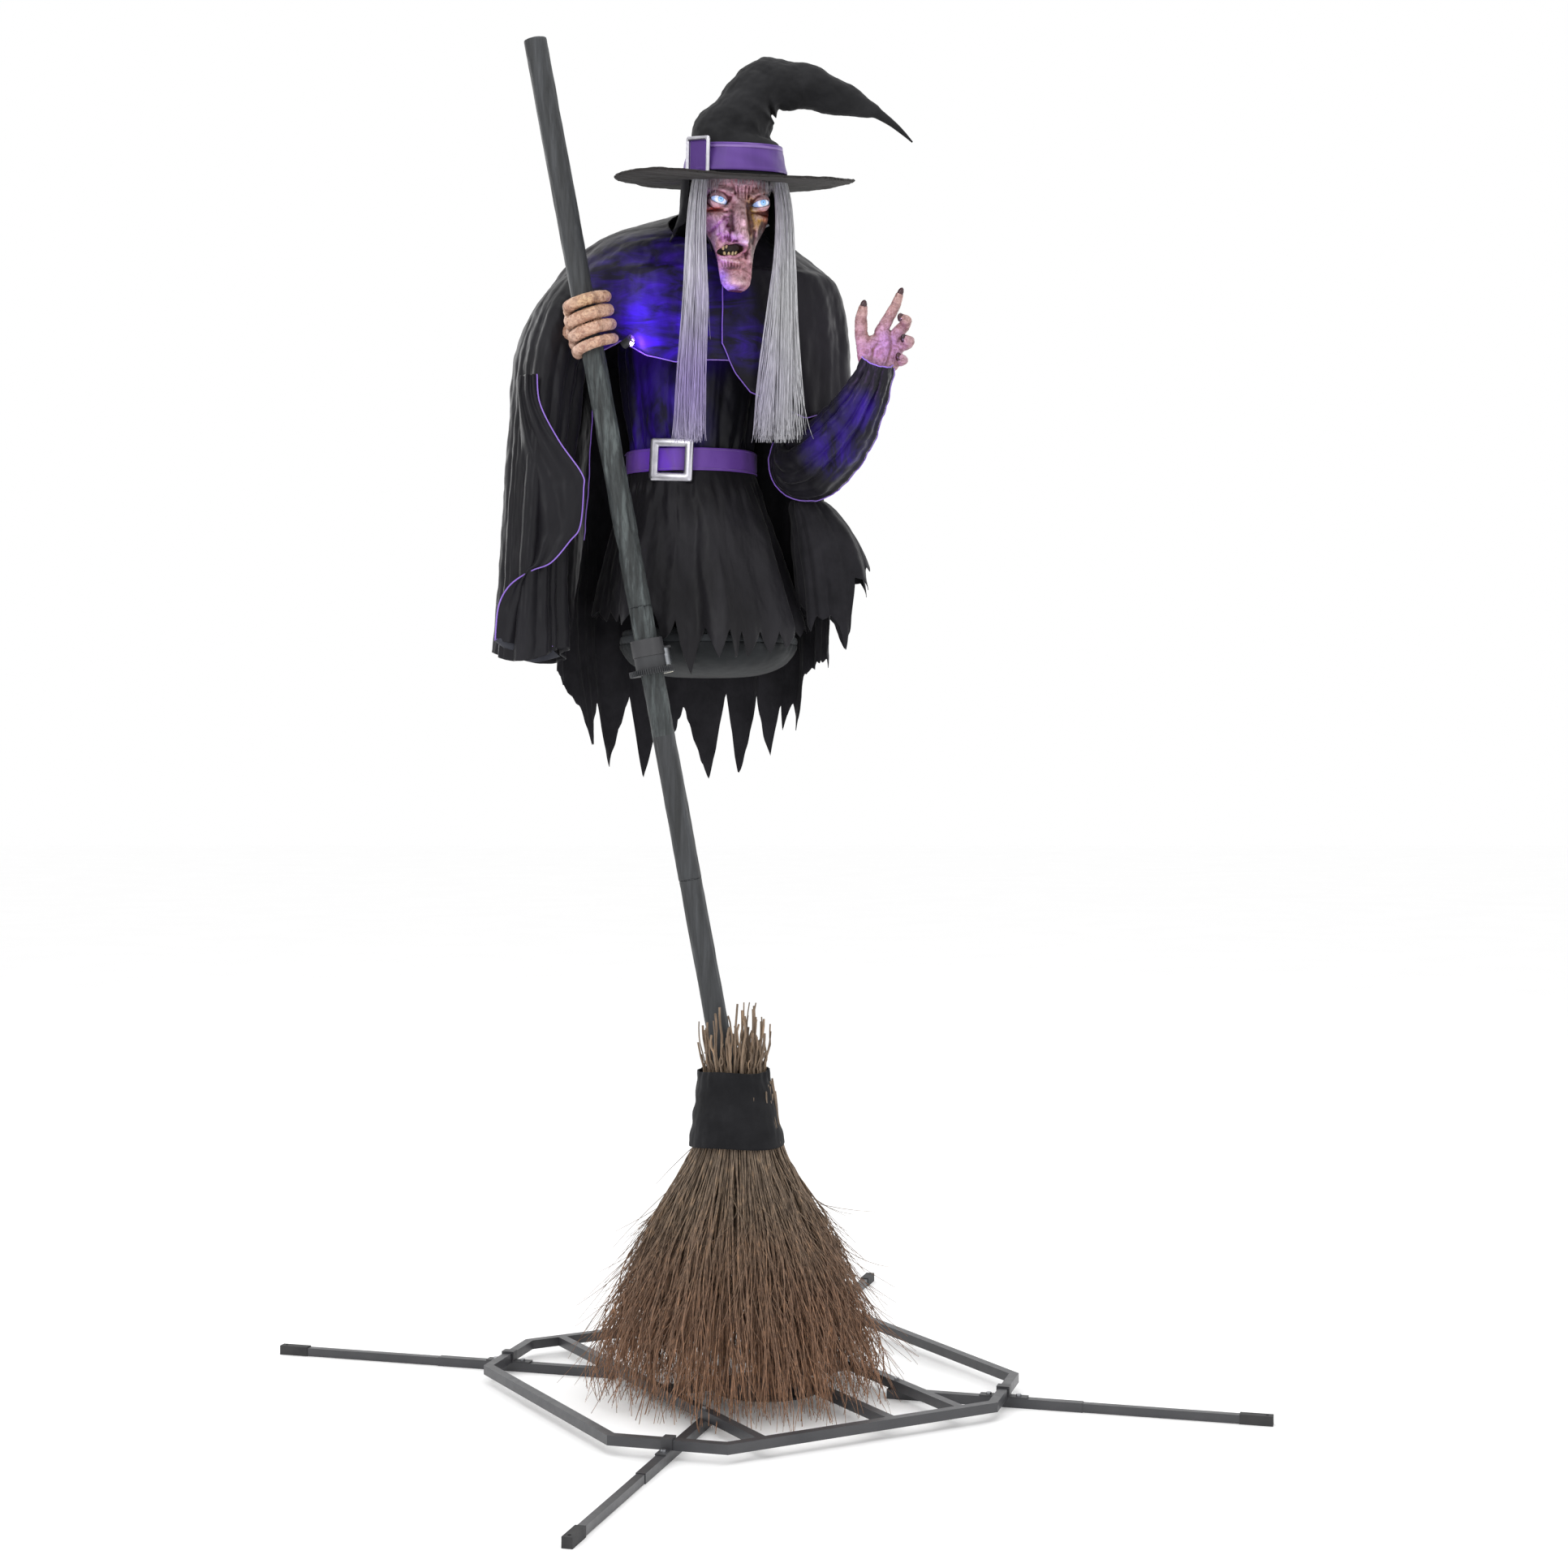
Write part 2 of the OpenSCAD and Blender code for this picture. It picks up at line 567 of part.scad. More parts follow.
module head_shell() color("#b08a92") on_face() difference() {
    union() {
        head_bell(5);
        hull() {
            translate([4, -112, -90]) sphere(r = 14, $fn = 16);
            translate([14, -142, -158]) sphere(r = 12, $fn = 16);
            translate([2, -96, -170]) sphere(r = 22, $fn = 16);
        }
        for (s = [-1, 1]) translate(jaw_pivot + [s * 101, 0, 0]) cube([9, 18, 18], center = true);
    }
    for (x = eye_x) translate([x, -92, -54]) sphere(r = eye_r + 0.5);
    translate(jaw_pivot) rotate([0, 90, 0]) cylinder(h = 211, r = 4.05, center = true);
    translate([-200, -32, -300]) cube([400, 300, 160]);
}

// Bearing on the neck post, arms out to the head, and the motor
head_step = head_module * (head_teeth + head_pinion_teeth) / 2;
neck_gear_z = -196;
module neck_gear() color("#d8d4c4") on_head() translate([0, 0, neck_gear_z])
    gear(head_teeth, head_module, 8, 12);

module head_drive() color("#8d8f92") on_head() difference() {
    union() {
        ring(-176, -146, 22, 12.05);
        translate([-20, -62, -172]) cube([40, 62, 6]);
        for (end = [[100, 14, -105], [-100, 14, -105], [0, 101, -105]])
            rod([end[0] * 0.17, end[1] * 0.17, -152], end, 5);
        translate([0, -head_step, -168]) cylinder(h = 44, r = 15);
    }
    translate([0, 0, -180]) cylinder(h = 60, r = 12.05, $fn = FINE);
    translate([0, -head_step, -180]) cylinder(h = 22, r = 3.3);
}

module on_head_pinion() on_head() translate([0, -head_step, neck_gear_z]) children();
module head_pinion() color("#d8d4c4") on_head_pinion() {
    rotate([0, 0, 90 + 180 / head_pinion_teeth]) gear(head_pinion_teeth, head_module, 8, 3);
    translate([0, 0, 0.5]) cylinder(h = 36, r = 3.05);
}

module hat() color("#1d1d1f") on_head() {
    ring(0, 6, brim_r, 133);
    skin([level(0, 0, 0.5, 139, 139), level(0, 0, 95, 124, 126), level(4, 4, 118, 118, 118),
        level(22, 10, 190, 104, 100),
        [[62, 14, 268], [0.75, 0, 1], 84, 76], [[120, 14, 304], [1, 0, 0.15], 70, 62],
        [[210, 10, 286], [1, 0, -0.3], 56, 48], [[300, 4, 240], [1, 0, -0.5], 38, 34],
        [[378, 0, 190], [1, 0, -0.6], 20, 18], [[470, -4, 112], [1, 0, -0.9], 5, 5]], 3.5);
}

// Ribbon round the crown, with its buckle
module hat_band() color("#6b4aa8") on_head() {
    skin([level(0, 0, 27, 139.5, 140), level(0, 0, 95, 129, 131)], 2.5);
    rotate([0, 0, -42]) translate([0, -142, 66]) rotate([83, 0, 0]) difference() {
        linear_extrude(6) square([88, 104], center = true);
        translate([0, 0, -1]) linear_extrude(8) square([60, 76], center = true);
    }
}

// Cloth hood that hangs from the hat round the sides and back of the head
module wedge(from, to, z0, z1) translate([0, 0, z0]) linear_extrude(z1 - z0)
    polygon(concat([[0, 0]], [for (i = [0:12]) let (a = from + (to - from) * i / 12) 240 * [cos(a), sin(a)]]));

module hood() color("#141318") on_head() difference() {
    ring(-158, -4, 152, 148);
    wedge(212, 359, -160, 0);
    wedge(-20, 195, -160, -112);
}

// Two long locks, in front of the shoulders
module hair() color("#a9a9ad") {
    skin([level(-167, 0, 2585, 40, 15), level(-158, 0, 2750, 38, 15), level(-148, 4, 2950, 32, 14),
        level(-145, 10, 3150, 14, 12), level(-143, 12, 3262, 11, 11)], 6);
    skin([level(78, 30, 2585, 62, 15), level(84, 34, 2780, 50, 15), level(90, 42, 2950, 34, 14),
        level(92, 72, 3120, 14, 12), level(91, 84, 3262, 11, 11)], 6);
}

// Chin piece, carried on two arms that pivot inside the cheeks
module jaw() color("#b08a92") on_face() difference() {
    union() {
        hull() {
            translate([-8, -78, -222]) sphere(r = 32, $fn = 24);
            translate([-9, -92, -258]) sphere(r = 30, $fn = 24);
        }
        for (s = [-1, 1]) {
            rod(jaw_pivot + [s * 86, -4, -4], [-8 + s * 22, -72, -215], 5);
            translate(jaw_pivot + [s * 86, 0, 0]) rotate([0, 90, 0]) cylinder(h = 14, r = 8, center = true);
            translate(jaw_pivot + [s * 86, 0, 0]) rotate([0, s * 90, 0]) cylinder(h = 19, r = 4);
        }
    }
    translate([-8, -96, -212]) cylinder(h = 40, r = 22);
}

/* ---------- assembly ---------- */

frame_tubes();
floor_rails();
leg_sockets();
leg_extensions();
leg_shoes();
saddle_clamps();
base_bolts();
ground_plate();
pole_socket();
socket_bolt();
pole_section(70, joint_1, false, [joint_1 - spigot / 2]);  // pole_lower
pole_section(joint_1, joint_2, true, [joint_1 - spigot / 2, joint_2 - spigot / 2]);  // pole_middle
pole_section(joint_2, joint_3, true, [joint_2 - spigot / 2, joint_3 - spigot / 2]);  // pole_upper
pole_section(joint_3, stick_len - 12, true, [joint_3 - spigot / 2]);  // pole_top
handle_shell(socket_top + 2, joint_1 - 1, joint_1 - spigot / 2);  // handle_shell_1
handle_shell(joint_1, joint_2 - 1, joint_2 - spigot / 2);  // handle_shell_2
handle_shell(joint_2, joint_3 - 1, joint_3 - spigot / 2);  // handle_shell_3
color("#3d4142") {  // handle_shell_4
    handle_shell(joint_3, stick_len - 9.9, 0);
    handle_cap();
}
snap_button(joint_1 - spigot / 2);  // snap_button_1
snap_button(joint_2 - spigot / 2);  // snap_button_2
snap_button(joint_3 - spigot / 2);  // snap_button_3
twig_bundle();
broom_binding();
sway_gear();
sway_pinion();
sway_motor();
seat_bracket();
seat_plate();
seat_pan();
spine_frame();
costume_hoops();
arm_frame();
control_box();
battery_door();
power_switch();
speaker();
spotlight();
bodice();
belt();
belt_buckle();
skirt();
back_skirt();
hip_drape();
cape();
sleeve_right();
sleeve_left();
right_hand();
forearm_frame();
left_cuff();
left_hand();
neck_gear();
head_shell();
eyes();
head_drive();
head_pinion();
hat();
hat_band();
hood();
hair();
jaw();
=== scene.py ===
"""Looks of the animated witch figure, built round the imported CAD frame. Lengths in the code are in mm."""
import json
import math

import bpy
import numpy as np
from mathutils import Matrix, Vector, noise


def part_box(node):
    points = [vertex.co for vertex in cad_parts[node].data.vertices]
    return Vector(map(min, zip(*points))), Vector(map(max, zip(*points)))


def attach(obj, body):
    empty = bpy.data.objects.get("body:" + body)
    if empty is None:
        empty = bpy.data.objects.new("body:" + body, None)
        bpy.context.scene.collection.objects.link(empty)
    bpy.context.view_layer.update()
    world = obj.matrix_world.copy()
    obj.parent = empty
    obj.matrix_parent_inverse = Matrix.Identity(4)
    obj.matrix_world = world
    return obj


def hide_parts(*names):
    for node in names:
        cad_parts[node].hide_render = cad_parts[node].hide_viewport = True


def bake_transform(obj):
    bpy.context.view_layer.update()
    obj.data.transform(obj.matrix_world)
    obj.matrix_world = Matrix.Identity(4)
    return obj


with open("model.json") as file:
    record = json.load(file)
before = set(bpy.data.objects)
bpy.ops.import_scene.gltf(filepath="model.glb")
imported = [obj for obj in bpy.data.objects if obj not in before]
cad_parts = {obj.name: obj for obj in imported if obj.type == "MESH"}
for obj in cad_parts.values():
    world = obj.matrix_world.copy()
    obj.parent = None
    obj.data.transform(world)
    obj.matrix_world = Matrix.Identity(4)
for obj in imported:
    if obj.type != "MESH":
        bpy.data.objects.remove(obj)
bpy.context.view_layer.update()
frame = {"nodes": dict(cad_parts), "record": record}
RECORD = frame["record"]
X_AXIS = np.array([1.0, 0.0, 0.0])
TAU = 2 * math.pi
MM = 0.001  # metres in a millimetre
STICK_RADIUS = 32.0
GRIP_AT = 2933  # along the stick from the floor: the gripping hand, over the last joint line
CAMERA_AT = (0.0935, -6.6, 1.7166)
CAMERA_DOWN = 0.0115  # radians below level
CAMERA_LENS = 55.9
CAMERA_SENSOR = 36
FLOOR_HALF = 40000
MIX_FACTOR, MIX_A, MIX_B, MIX_RESULT = 0, 6, 7, 2  # sockets of a Mix node that mixes colours


# ---------- frames taken from the record ----------

def unit(v):
    v = np.asarray(v, float)
    return v / np.linalg.norm(v)


def joint_of(name):
    return next(j for j in RECORD["behaviour"]["joints"] if j["name"] == name)


SWAY = joint_of("figure_sway")
HEAD = joint_of("head_turn")
JAW = joint_of("jaw_open")
STICK_AXIS = unit(SWAY["axis"])
STICK_AT = np.array(SWAY["pos_m"]) * 1000
STICK_FOOT = STICK_AT - STICK_AXIS * STICK_AT[2] / STICK_AXIS[2]
STICK_SIDE = np.array([STICK_AXIS[2], 0.0, -STICK_AXIS[0]])
STICK_BACK = np.array([0.0, 1.0, 0.0])
HEAD_AT = np.array(HEAD["pos_m"]) * 1000
HEAD_Z = unit(HEAD["axis"])
HEAD_X = unit([HEAD_Z[2], 0.0, -HEAD_Z[0]])
HEAD_Y = np.cross(HEAD_Z, HEAD_X)
FACE_X = unit(JAW["axis"])
FACE_Y = np.cross(HEAD_Z, FACE_X)


def node_box(name):
    lo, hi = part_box(name)
    return np.array(lo) * 1000, np.array(hi) * 1000


def on_stick(s, angle, r):
    """A point s along the stick, at an angle round it (degrees, -90 = front) and r from its axis."""
    a = math.radians(angle)
    return STICK_FOOT + STICK_AXIS * s + (STICK_SIDE * math.cos(a) + STICK_BACK * math.sin(a)) * r


def on_head(p):
    p = np.asarray(p, float)
    return HEAD_AT + p[..., :1] * HEAD_X + p[..., 1:2] * HEAD_Y + p[..., 2:3] * HEAD_Z


def on_face(p):
    p = np.asarray(p, float)
    return HEAD_AT + p[..., :1] * FACE_X + p[..., 1:2] * FACE_Y + p[..., 2:3] * HEAD_Z


# ---------- meshes ----------

def new_mesh(name, verts, faces, mat, smooth=True):
    data = bpy.data.meshes.new(name)
    data.from_pydata((np.asarray(verts, float) * MM).tolist(), [], faces)
    data.update()
    data.polygons.foreach_set("use_smooth", [smooth] * len(data.polygons))
    data.materials.append(mat)
    obj = bpy.data.objects.new(name, data)
    bpy.context.collection.objects.link(obj)
    return obj


def apply_modifiers(obj):
    depsgraph = bpy.context.evaluated_depsgraph_get()
    data = bpy.data.meshes.new_from_object(obj.evaluated_get(depsgraph))
    obj.modifiers.clear()
    old = obj.data
    obj.data = data
    bpy.data.meshes.remove(old)
    return obj


def grid_faces(rows, cols, wrap, base=0):
    i = np.arange(rows - 1)[:, None] * cols
    last = cols if wrap else cols - 1
    j = np.arange(last)[None, :]
    k = (j + 1) % cols
    return (np.stack([i + j, i + cols + j, i + cols + k, i + k], -1).reshape(-1, 4) + base).tolist()


def grid_mesh(name, points, mat, wrap=False, thick=0.0, caps=(False, False)):
    """A surface from a (rows, cols, 3) array. thick makes it a closed sheet; caps close its ends."""
    rows, cols = points.shape[:2]
    faces = grid_faces(rows, cols, wrap)
    if caps[0]:
        faces.append(list(range(cols)))
    if caps[1]:
        faces.append(list(range((rows - 1) * cols, rows * cols))[::-1])
    obj = new_mesh(name, points.reshape(-1, 3), faces, mat)
    if thick:
        mod = obj.modifiers.new("thick", "SOLIDIFY")
        mod.thickness = thick * MM
        mod.offset = 0
        mod.use_even_offset = False
        apply_modifiers(obj)
    return obj


def transport(points):
    """Two side vectors at each point of a path that turn as little as they can."""
    tangents = np.gradient(points, axis=0)
    tangents /= np.linalg.norm(tangents, axis=1)[:, None]
    side = np.cross(tangents[0], [0.31, 0.87, 0.12])
    sides = []
    for t in tangents:
        side = side - t * side.dot(t)
        side = side / np.linalg.norm(side)
        sides.append(side)
    sides = np.array(sides)
    return sides, np.cross(tangents, sides)


def tube_parts(paths, radii, sides=6, ref=None):
    """Vertices and faces of closed round tubes along the paths, with one radius per point."""
    verts = []
    faces = []
    base = 0
    turn = np.arange(sides) * TAU / sides
    cos = np.cos(turn)[None, :, None]
    sin = np.sin(turn)[None, :, None]
    step = np.arange(sides)
    for path, rad in zip(paths, radii):
        p = np.asarray(path, float)
        n = len(p)
        if ref is None:
            u, w = transport(p)
        else:
            t = np.gradient(p, axis=0)
            t /= np.linalg.norm(t, axis=1)[:, None]
            u = np.cross(t, ref)
            u /= np.linalg.norm(u, axis=1)[:, None]
            w = np.cross(t, u)
        r = np.broadcast_to(np.asarray(rad, float), (n,))[:, None, None]
        verts.append((p[:, None] + r * (cos * u[:, None] + sin * w[:, None])).reshape(-1, 3))
        i = base + np.arange(n - 1)[:, None] * sides + step
        j = base + np.arange(n - 1)[:, None] * sides + (step + 1) % sides
        faces.extend(np.stack([i, j, j + sides, i + sides], -1).reshape(-1, 4).tolist())
        faces.append((base + step[::-1]).tolist())
        faces.append((base + (n - 1) * sides + step).tolist())
        base += n * sides
    return np.concatenate(verts), faces


def tubes(name, paths, radii, mat, sides=6, ref=None):
    verts, faces = tube_parts(paths, radii, sides, ref)
    return new_mesh(name, verts, faces, mat)


def between(rows, t):
    """The rows smoothly interpolated (Catmull-Rom) at the counts t."""
    i = np.minimum(t.astype(int), len(rows) - 2)
    f = (t - i)[..., None]
    a = rows[np.maximum(i - 1, 0)]
    b = rows[i]
    c = rows[i + 1]
    d = rows[np.minimum(i + 2, len(rows) - 1)]
    return 0.5 * (2 * b + (c - a) * f + (2 * a - 5 * b + 4 * c - d) * f**2 + (3 * b - a - 3 * c + d) * f**3)


def spline(points, count):
    """A smooth path of count points through the given ones."""
    p = np.asarray(points, float)
    return between(p, np.linspace(0, len(p) - 1, count))


def around(r, a, z):
    """Points at radius r, angle a and height z."""
    return np.stack([r * np.cos(a), r * np.sin(a), z + 0 * a], -1)


def fbm(points, scale, octaves=3, seed=0.0, stretch=(1, 1, 1)):
    """Smooth repeatable noise, about -1 to 1, at each point. scale is in cycles per mm."""
    p = np.asarray(points, float)
    flat = p.reshape(-1, 3) * (np.array(stretch, float) * scale) + seed
    out = [noise.fractal(Vector(v), 0.7, 2.1, octaves) for v in flat.tolist()]
    return np.array(out).reshape(p.shape[:-1])


def hump(x, centre, width):
    return np.exp(-((x - centre) / width) ** 2)


def step_up(x, a, b):
    f = np.clip((x - a) / (b - a), 0, 1)
    return f * f * (3 - 2 * f)


def join(name, objs):
    """One object from several, keeping each one's material."""
    with bpy.context.temp_override(active_object=objs[0], selected_editable_objects=objs):
        bpy.ops.object.join()
    objs[0].name = name
    return objs[0]


# ---------- cloth ----------

def level(x, y, z, rx, ry):
    """A level oval section: centre and half-widths."""
    return (x, y, z, 0.0, 0.0, 1.0, rx, ry)


def tilted(centre, normal, rx, ry):
    """An oval section square to a normal."""
    return (*centre, *unit(normal), rx, ry)


def loft(sections, t, theta, upright=True):
    """Points and outward directions on a surface through oval sections.

    theta 0 is +X and -90 degrees the front. Sections whose normal swings past +X need upright=False.
    """
    s = np.array(sections, float)
    v = between(s, np.clip(t, 0, len(s) - 1))
    n = v[..., 3:6]
    n = n / np.linalg.norm(n, axis=-1, keepdims=True)
    u = X_AXIS - n * n[..., :1] if upright else np.cross(STICK_BACK, n)
    u = u / np.linalg.norm(u, axis=-1, keepdims=True)
    w = np.cross(n, u)
    cos = np.cos(theta)[..., None]
    sin = np.sin(theta)[..., None]
    out = u * cos + w * sin
    return v[..., :3] + u * v[..., 6:7] * cos + w * v[..., 7:8] * sin, out


def at_height(sections, z):
    """The section count at a height, for sections listed upwards."""
    return np.interp(z, [s[2] for s in sections], np.arange(len(sections)))


def pleats(theta, v, seed, counts, sizes, slant=0.5):
    """Folds round a garment, rounded outside and sharp inside."""
    rng = np.random.default_rng(seed)
    out = 0.0
    for n, size in zip(counts, sizes):
        a, b, c, d = rng.uniform(0, TAU, 4)
        x = n * theta + a + 0.9 * np.sin(2 * theta + b) + 0.6 * np.sin(5 * theta + c)
        x = x + slant * rng.uniform(-1, 1) * v * 3 + 0.35 * np.sin(4 * v + d)
        out = out + size * (2 * np.sqrt(np.cos(x / 2) ** 2 + 0.02) - 1.15)
    return out


def ragged(u, seed, count):
    """Torn points along a hem: 0 at each notch, up to 1 at each tip. u runs from 0 to 1."""
    rng = np.random.default_rng(seed)
    widths = rng.uniform(0.5, 1.5, count)
    edges = np.concatenate([[0], np.cumsum(widths) / widths.sum()])
    tips = rng.uniform(0.4, 1.0, count)
    lean = rng.uniform(0.3, 0.7, count)
    k = np.clip(np.searchsorted(edges, u, side="right") - 1, 0, count - 1)
    f = (u - edges[k]) / (edges[k + 1] - edges[k])
    return tips[k] * np.where(f < lean[k], f / lean[k], (1 - f) / (1 - lean[k])) ** 0.85


def garment(sections, theta, top, bottom, rows, fold, rough=2.5, seed=1.0):
    """A cloth surface from section count top down to bottom; fold(theta, v) pushes it outwards."""
    v = np.linspace(0, 1, rows)[:, None]
    th = np.broadcast_to(theta, (rows, len(theta)))
    points, out = loft(sections, top + (bottom - top) * v + 0 * th, th)
    push = fold(th, v) + rough * fbm(points, 1 / 55, 3, seed, (1, 1, 0.45))
    return points + out * push[..., None]


SHEETS = []


def declare(obj, points):
    """Declares a sheet by the size of the cloth that its surface takes."""
    across = np.linalg.norm(np.diff(points, axis=1), axis=2).sum(axis=1).max() * MM
    down = np.linalg.norm(np.diff(points, axis=0), axis=2).sum(axis=0).max() * MM
    a = np.linalg.norm(np.cross(points[1:, 1:] - points[:-1, :-1], points[1:, :-1] - points[:-1, 1:]),
                       axis=2)
    area = a.sum() * 0.5e-6  # half of each cross product, in square metres
    if obj.get("wrapped"):
        across += np.linalg.norm(points[:, 0] - points[:, -1], axis=1).max() * MM
        area *= points.shape[1] / (points.shape[1] - 1)
    area = min(max(area, 0.32 * across * down), across * down)
    SHEETS.append((obj.name, round(across, 3), round(down, 3), round(area, 3)))


def piping(name, points, mat, radius=1.6):
    """The corded edge sewn round a hem."""
    return tubes(name, [points], [radius], mat, 8)


# ---------- materials ----------

class Shader:
    """A Principled material with its texture nodes in world metres at rest."""

    def __init__(self, name, color, roughness, metallic=0.0):
        self.mat = bpy.data.materials.new(name)
        self.mat.use_nodes = True
        self.tree = self.mat.node_tree
        self.bsdf = self.tree.nodes["Principled BSDF"]
        self.normal = None
        self.set("Base Color", (*color, 1.0))
        self.set("Roughness", roughness)
        self.set("Metallic", metallic)

    def set(self, socket, value):
        self.bsdf.inputs[socket].default_value = value
        return self

    def link(self, out, socket):
        self.tree.links.new(out, self.bsdf.inputs[socket])
        return self

    def make(self, kind, **values):
        made = self.tree.nodes.new(kind)
        for key, value in values.items():
            setattr(made, key, value)
        return made

    def texture(self, kind, vector, inputs, **values):
        made = self.make(kind, **values)
        for socket, value in inputs.items():
            made.inputs[socket].default_value = value
        self.tree.links.new(vector, made.inputs["Vector"])
        return made.outputs

    def coords(self, stretch=(1, 1, 1), turn=(0, 0, 0)):
        place = self.make("ShaderNodeTexCoord").outputs["Object"]
        return self.texture("ShaderNodeMapping", place, {"Scale": stretch, "Rotation": turn})["Vector"]

    def noise(self, scale, detail=4.0, rough=0.55, stretch=(1, 1, 1), turn=(0, 0, 0), distortion=0.0):
        inputs = {"Scale": scale, "Detail": detail, "Roughness": rough, "Distortion": distortion}
        return self.texture("ShaderNodeTexNoise", self.coords(stretch, turn), inputs)["Fac"]

    def wave(self, scale, direction="X", distortion=0.0):
        inputs = {"Scale": scale, "Distortion": distortion}
        return self.texture("ShaderNodeTexWave", self.coords(), inputs, bands_direction=direction)["Fac"]

    def cells(self, scale):
        return self.texture("ShaderNodeTexVoronoi", self.coords(), {"Scale": scale})["Distance"]

    def attribute(self, name):
        return self.make("ShaderNodeAttribute", attribute_name=name).outputs["Color"]

    def ramp(self, fac, *stops):
        made = self.make("ShaderNodeValToRGB")
        elements = made.color_ramp.elements
        while len(elements) < len(stops):
            elements.new(0.5)
        for element, (at, color) in zip(elements, stops):
            element.position = at
            element.color = (*color, 1.0) if len(color) == 3 else (color[0], color[0], color[0], 1.0)
        self.tree.links.new(fac, made.inputs["Fac"])
        return made.outputs["Color"]

    def feed(self, value, socket):
        if isinstance(value, bpy.types.NodeSocket):
            self.tree.links.new(value, socket)
        else:
            socket.default_value = value

    def mix(self, fac, a, b, blend="MIX"):
        made = self.make("ShaderNodeMix", data_type="RGBA", blend_type=blend)
        self.feed(fac, made.inputs[MIX_FACTOR])
        self.feed(a, made.inputs[MIX_A])
        self.feed(b, made.inputs[MIX_B])
        return made.outputs[MIX_RESULT]

    def math(self, operation, a, b):
        made = self.make("ShaderNodeMath", operation=operation)
        self.feed(a, made.inputs[0])
        self.feed(b, made.inputs[1])
        return made.outputs[0]

    def near(self, centre, reach, inner=0.0):
        """1 close to a point of the object (mm), falling to 0 at reach."""
        gap = self.make("ShaderNodeVectorMath", operation="DISTANCE")
        self.tree.links.new(self.coords(), gap.inputs[0])
        gap.inputs[1].default_value = [c * MM for c in centre]
        fade = self.make("ShaderNodeMapRange", interpolation_type="SMOOTHSTEP")
        fade.inputs["From Min"].default_value = reach * MM
        fade.inputs["From Max"].default_value = inner * MM
        self.tree.links.new(gap.outputs["Value"], fade.inputs["Value"])
        return fade.outputs["Result"]

    def bump(self, height, strength, distance):
        made = self.make("ShaderNodeBump")
        made.inputs["Strength"].default_value = strength
        made.inputs["Distance"].default_value = distance
        self.tree.links.new(height, made.inputs["Height"])
        if self.normal is not None:
            self.tree.links.new(self.normal, made.inputs["Normal"])
        self.normal = made.outputs["Normal"]
        self.tree.links.new(self.normal, self.bsdf.inputs["Normal"])
        return self

    def color(self, out):
        return self.link(out, "Base Color")

    def rough(self, fac, low, high):
        made = self.make("ShaderNodeMapRange")
        made.inputs["To Min"].default_value = low
        made.inputs["To Max"].default_value = high
        self.tree.links.new(fac, made.inputs["Value"])
        return self.link(made.outputs["Result"], "Roughness")


def powder_coat(name, color, grime, rough):
    s = Shader(name, color, rough)
    s.color(s.ramp(s.noise(5, 5, 0.6), (0.3, color), (0.62, grime)))
    s.rough(s.noise(38, 4), rough - 0.08, rough + 0.16)
    s.bump(s.noise(420, 2, 0.5), 0.25, 0.0006)
    s.bump(s.noise(28, 4, 0.6), 0.10, 0.001)
    s.set("Coat Weight", 0.15)
    s.set("Coat Roughness", 0.3)
    return s.mat


def bare_metal(name, color, dark, rough, brush=(1, 1, 24)):
    s = Shader(name, color, rough, 1.0)
    s.color(s.ramp(s.noise(30, 5, 0.6, brush), (0.3, dark), (0.7, color)))
    s.rough(s.noise(16, 4, 0.6), rough - 0.08, rough + 0.15)
    s.bump(s.noise(160, 3, 0.6, brush), 0.15, 0.0004)
    s.set("Anisotropic", 0.3)
    return s.mat


def moulded(name, color, light, rough):
    s = Shader(name, color, rough)
    s.color(s.ramp(s.noise(12, 4, 0.6), (0.35, color), (0.75, light)))
    s.rough(s.noise(60, 3), rough - 0.06, rough + 0.10)
    s.bump(s.noise(700, 2, 0.5), 0.22, 0.0004)
    return s.mat


def satin(name, color, lift, glows=(), rough=0.40, glow_color=(0.030, 0.006, 0.24), strength=0.42,
          glow_fold_stretch=(1, 1, 0.4)):
    """Satin with soft creases and a fine weave; glows are (point, reach) where violet lamp light is painted
    into the base colour and given off as emission, broken up by painted shade in dark folds.
    """
    s = Shader(name, color, rough)
    crease = s.noise(7, 5, 0.55, (1, 1, 0.35), distortion=0.6)
    # painted shade and highlight: the crease noise that also drives the bump below makes the satin darker in
    # the hollows of its creases and lighter (lift) on their ridges
    base = s.ramp(crease, (0.35, color), (0.8, lift))
    # Painted violet lamp light: near each glow point the base colour is mixed towards glow_color and the
    # same colour is given off as emission, so the cloth glows though it is no lamp.
    if glows:
        lit = s.near(*glows[0])
        for glow in glows[1:]:
            lit = s.math("MAXIMUM", lit, s.near(*glow))
        # painted shade: dark folds, stretched by glow_fold_stretch, that break up the painted lamp light
        shade = s.ramp(s.noise(10, 5, 0.6, glow_fold_stretch, distortion=1.0), (0.40, (0.05,)), (0.56, (0.55,)),
                       (0.70, (1.0,)))
        lit = s.math("MULTIPLY", lit, shade)
        base = s.mix(lit, base, (*glow_color, 1.0))
        s.link(s.mix(lit, (0, 0, 0, 1), (*glow_color, 1.0)), "Emission Color")
        s.set("Emission Strength", strength)
    s.color(base)
    s.rough(s.noise(24, 3), rough - 0.06, rough + 0.12)
    s.bump(crease, 0.35, 0.010)
    s.bump(s.noise(34, 4, 0.6, (1, 1, 0.5)), 0.22, 0.003)
    s.bump(s.wave(330, "DIAGONAL", distortion=0.6), 0.06, 0.0004)
    s.set("Sheen Weight", 0.06)
    s.set("Sheen Roughness", 0.4)
    s.set("Specular IOR Level", 0.16)
    return s.mat


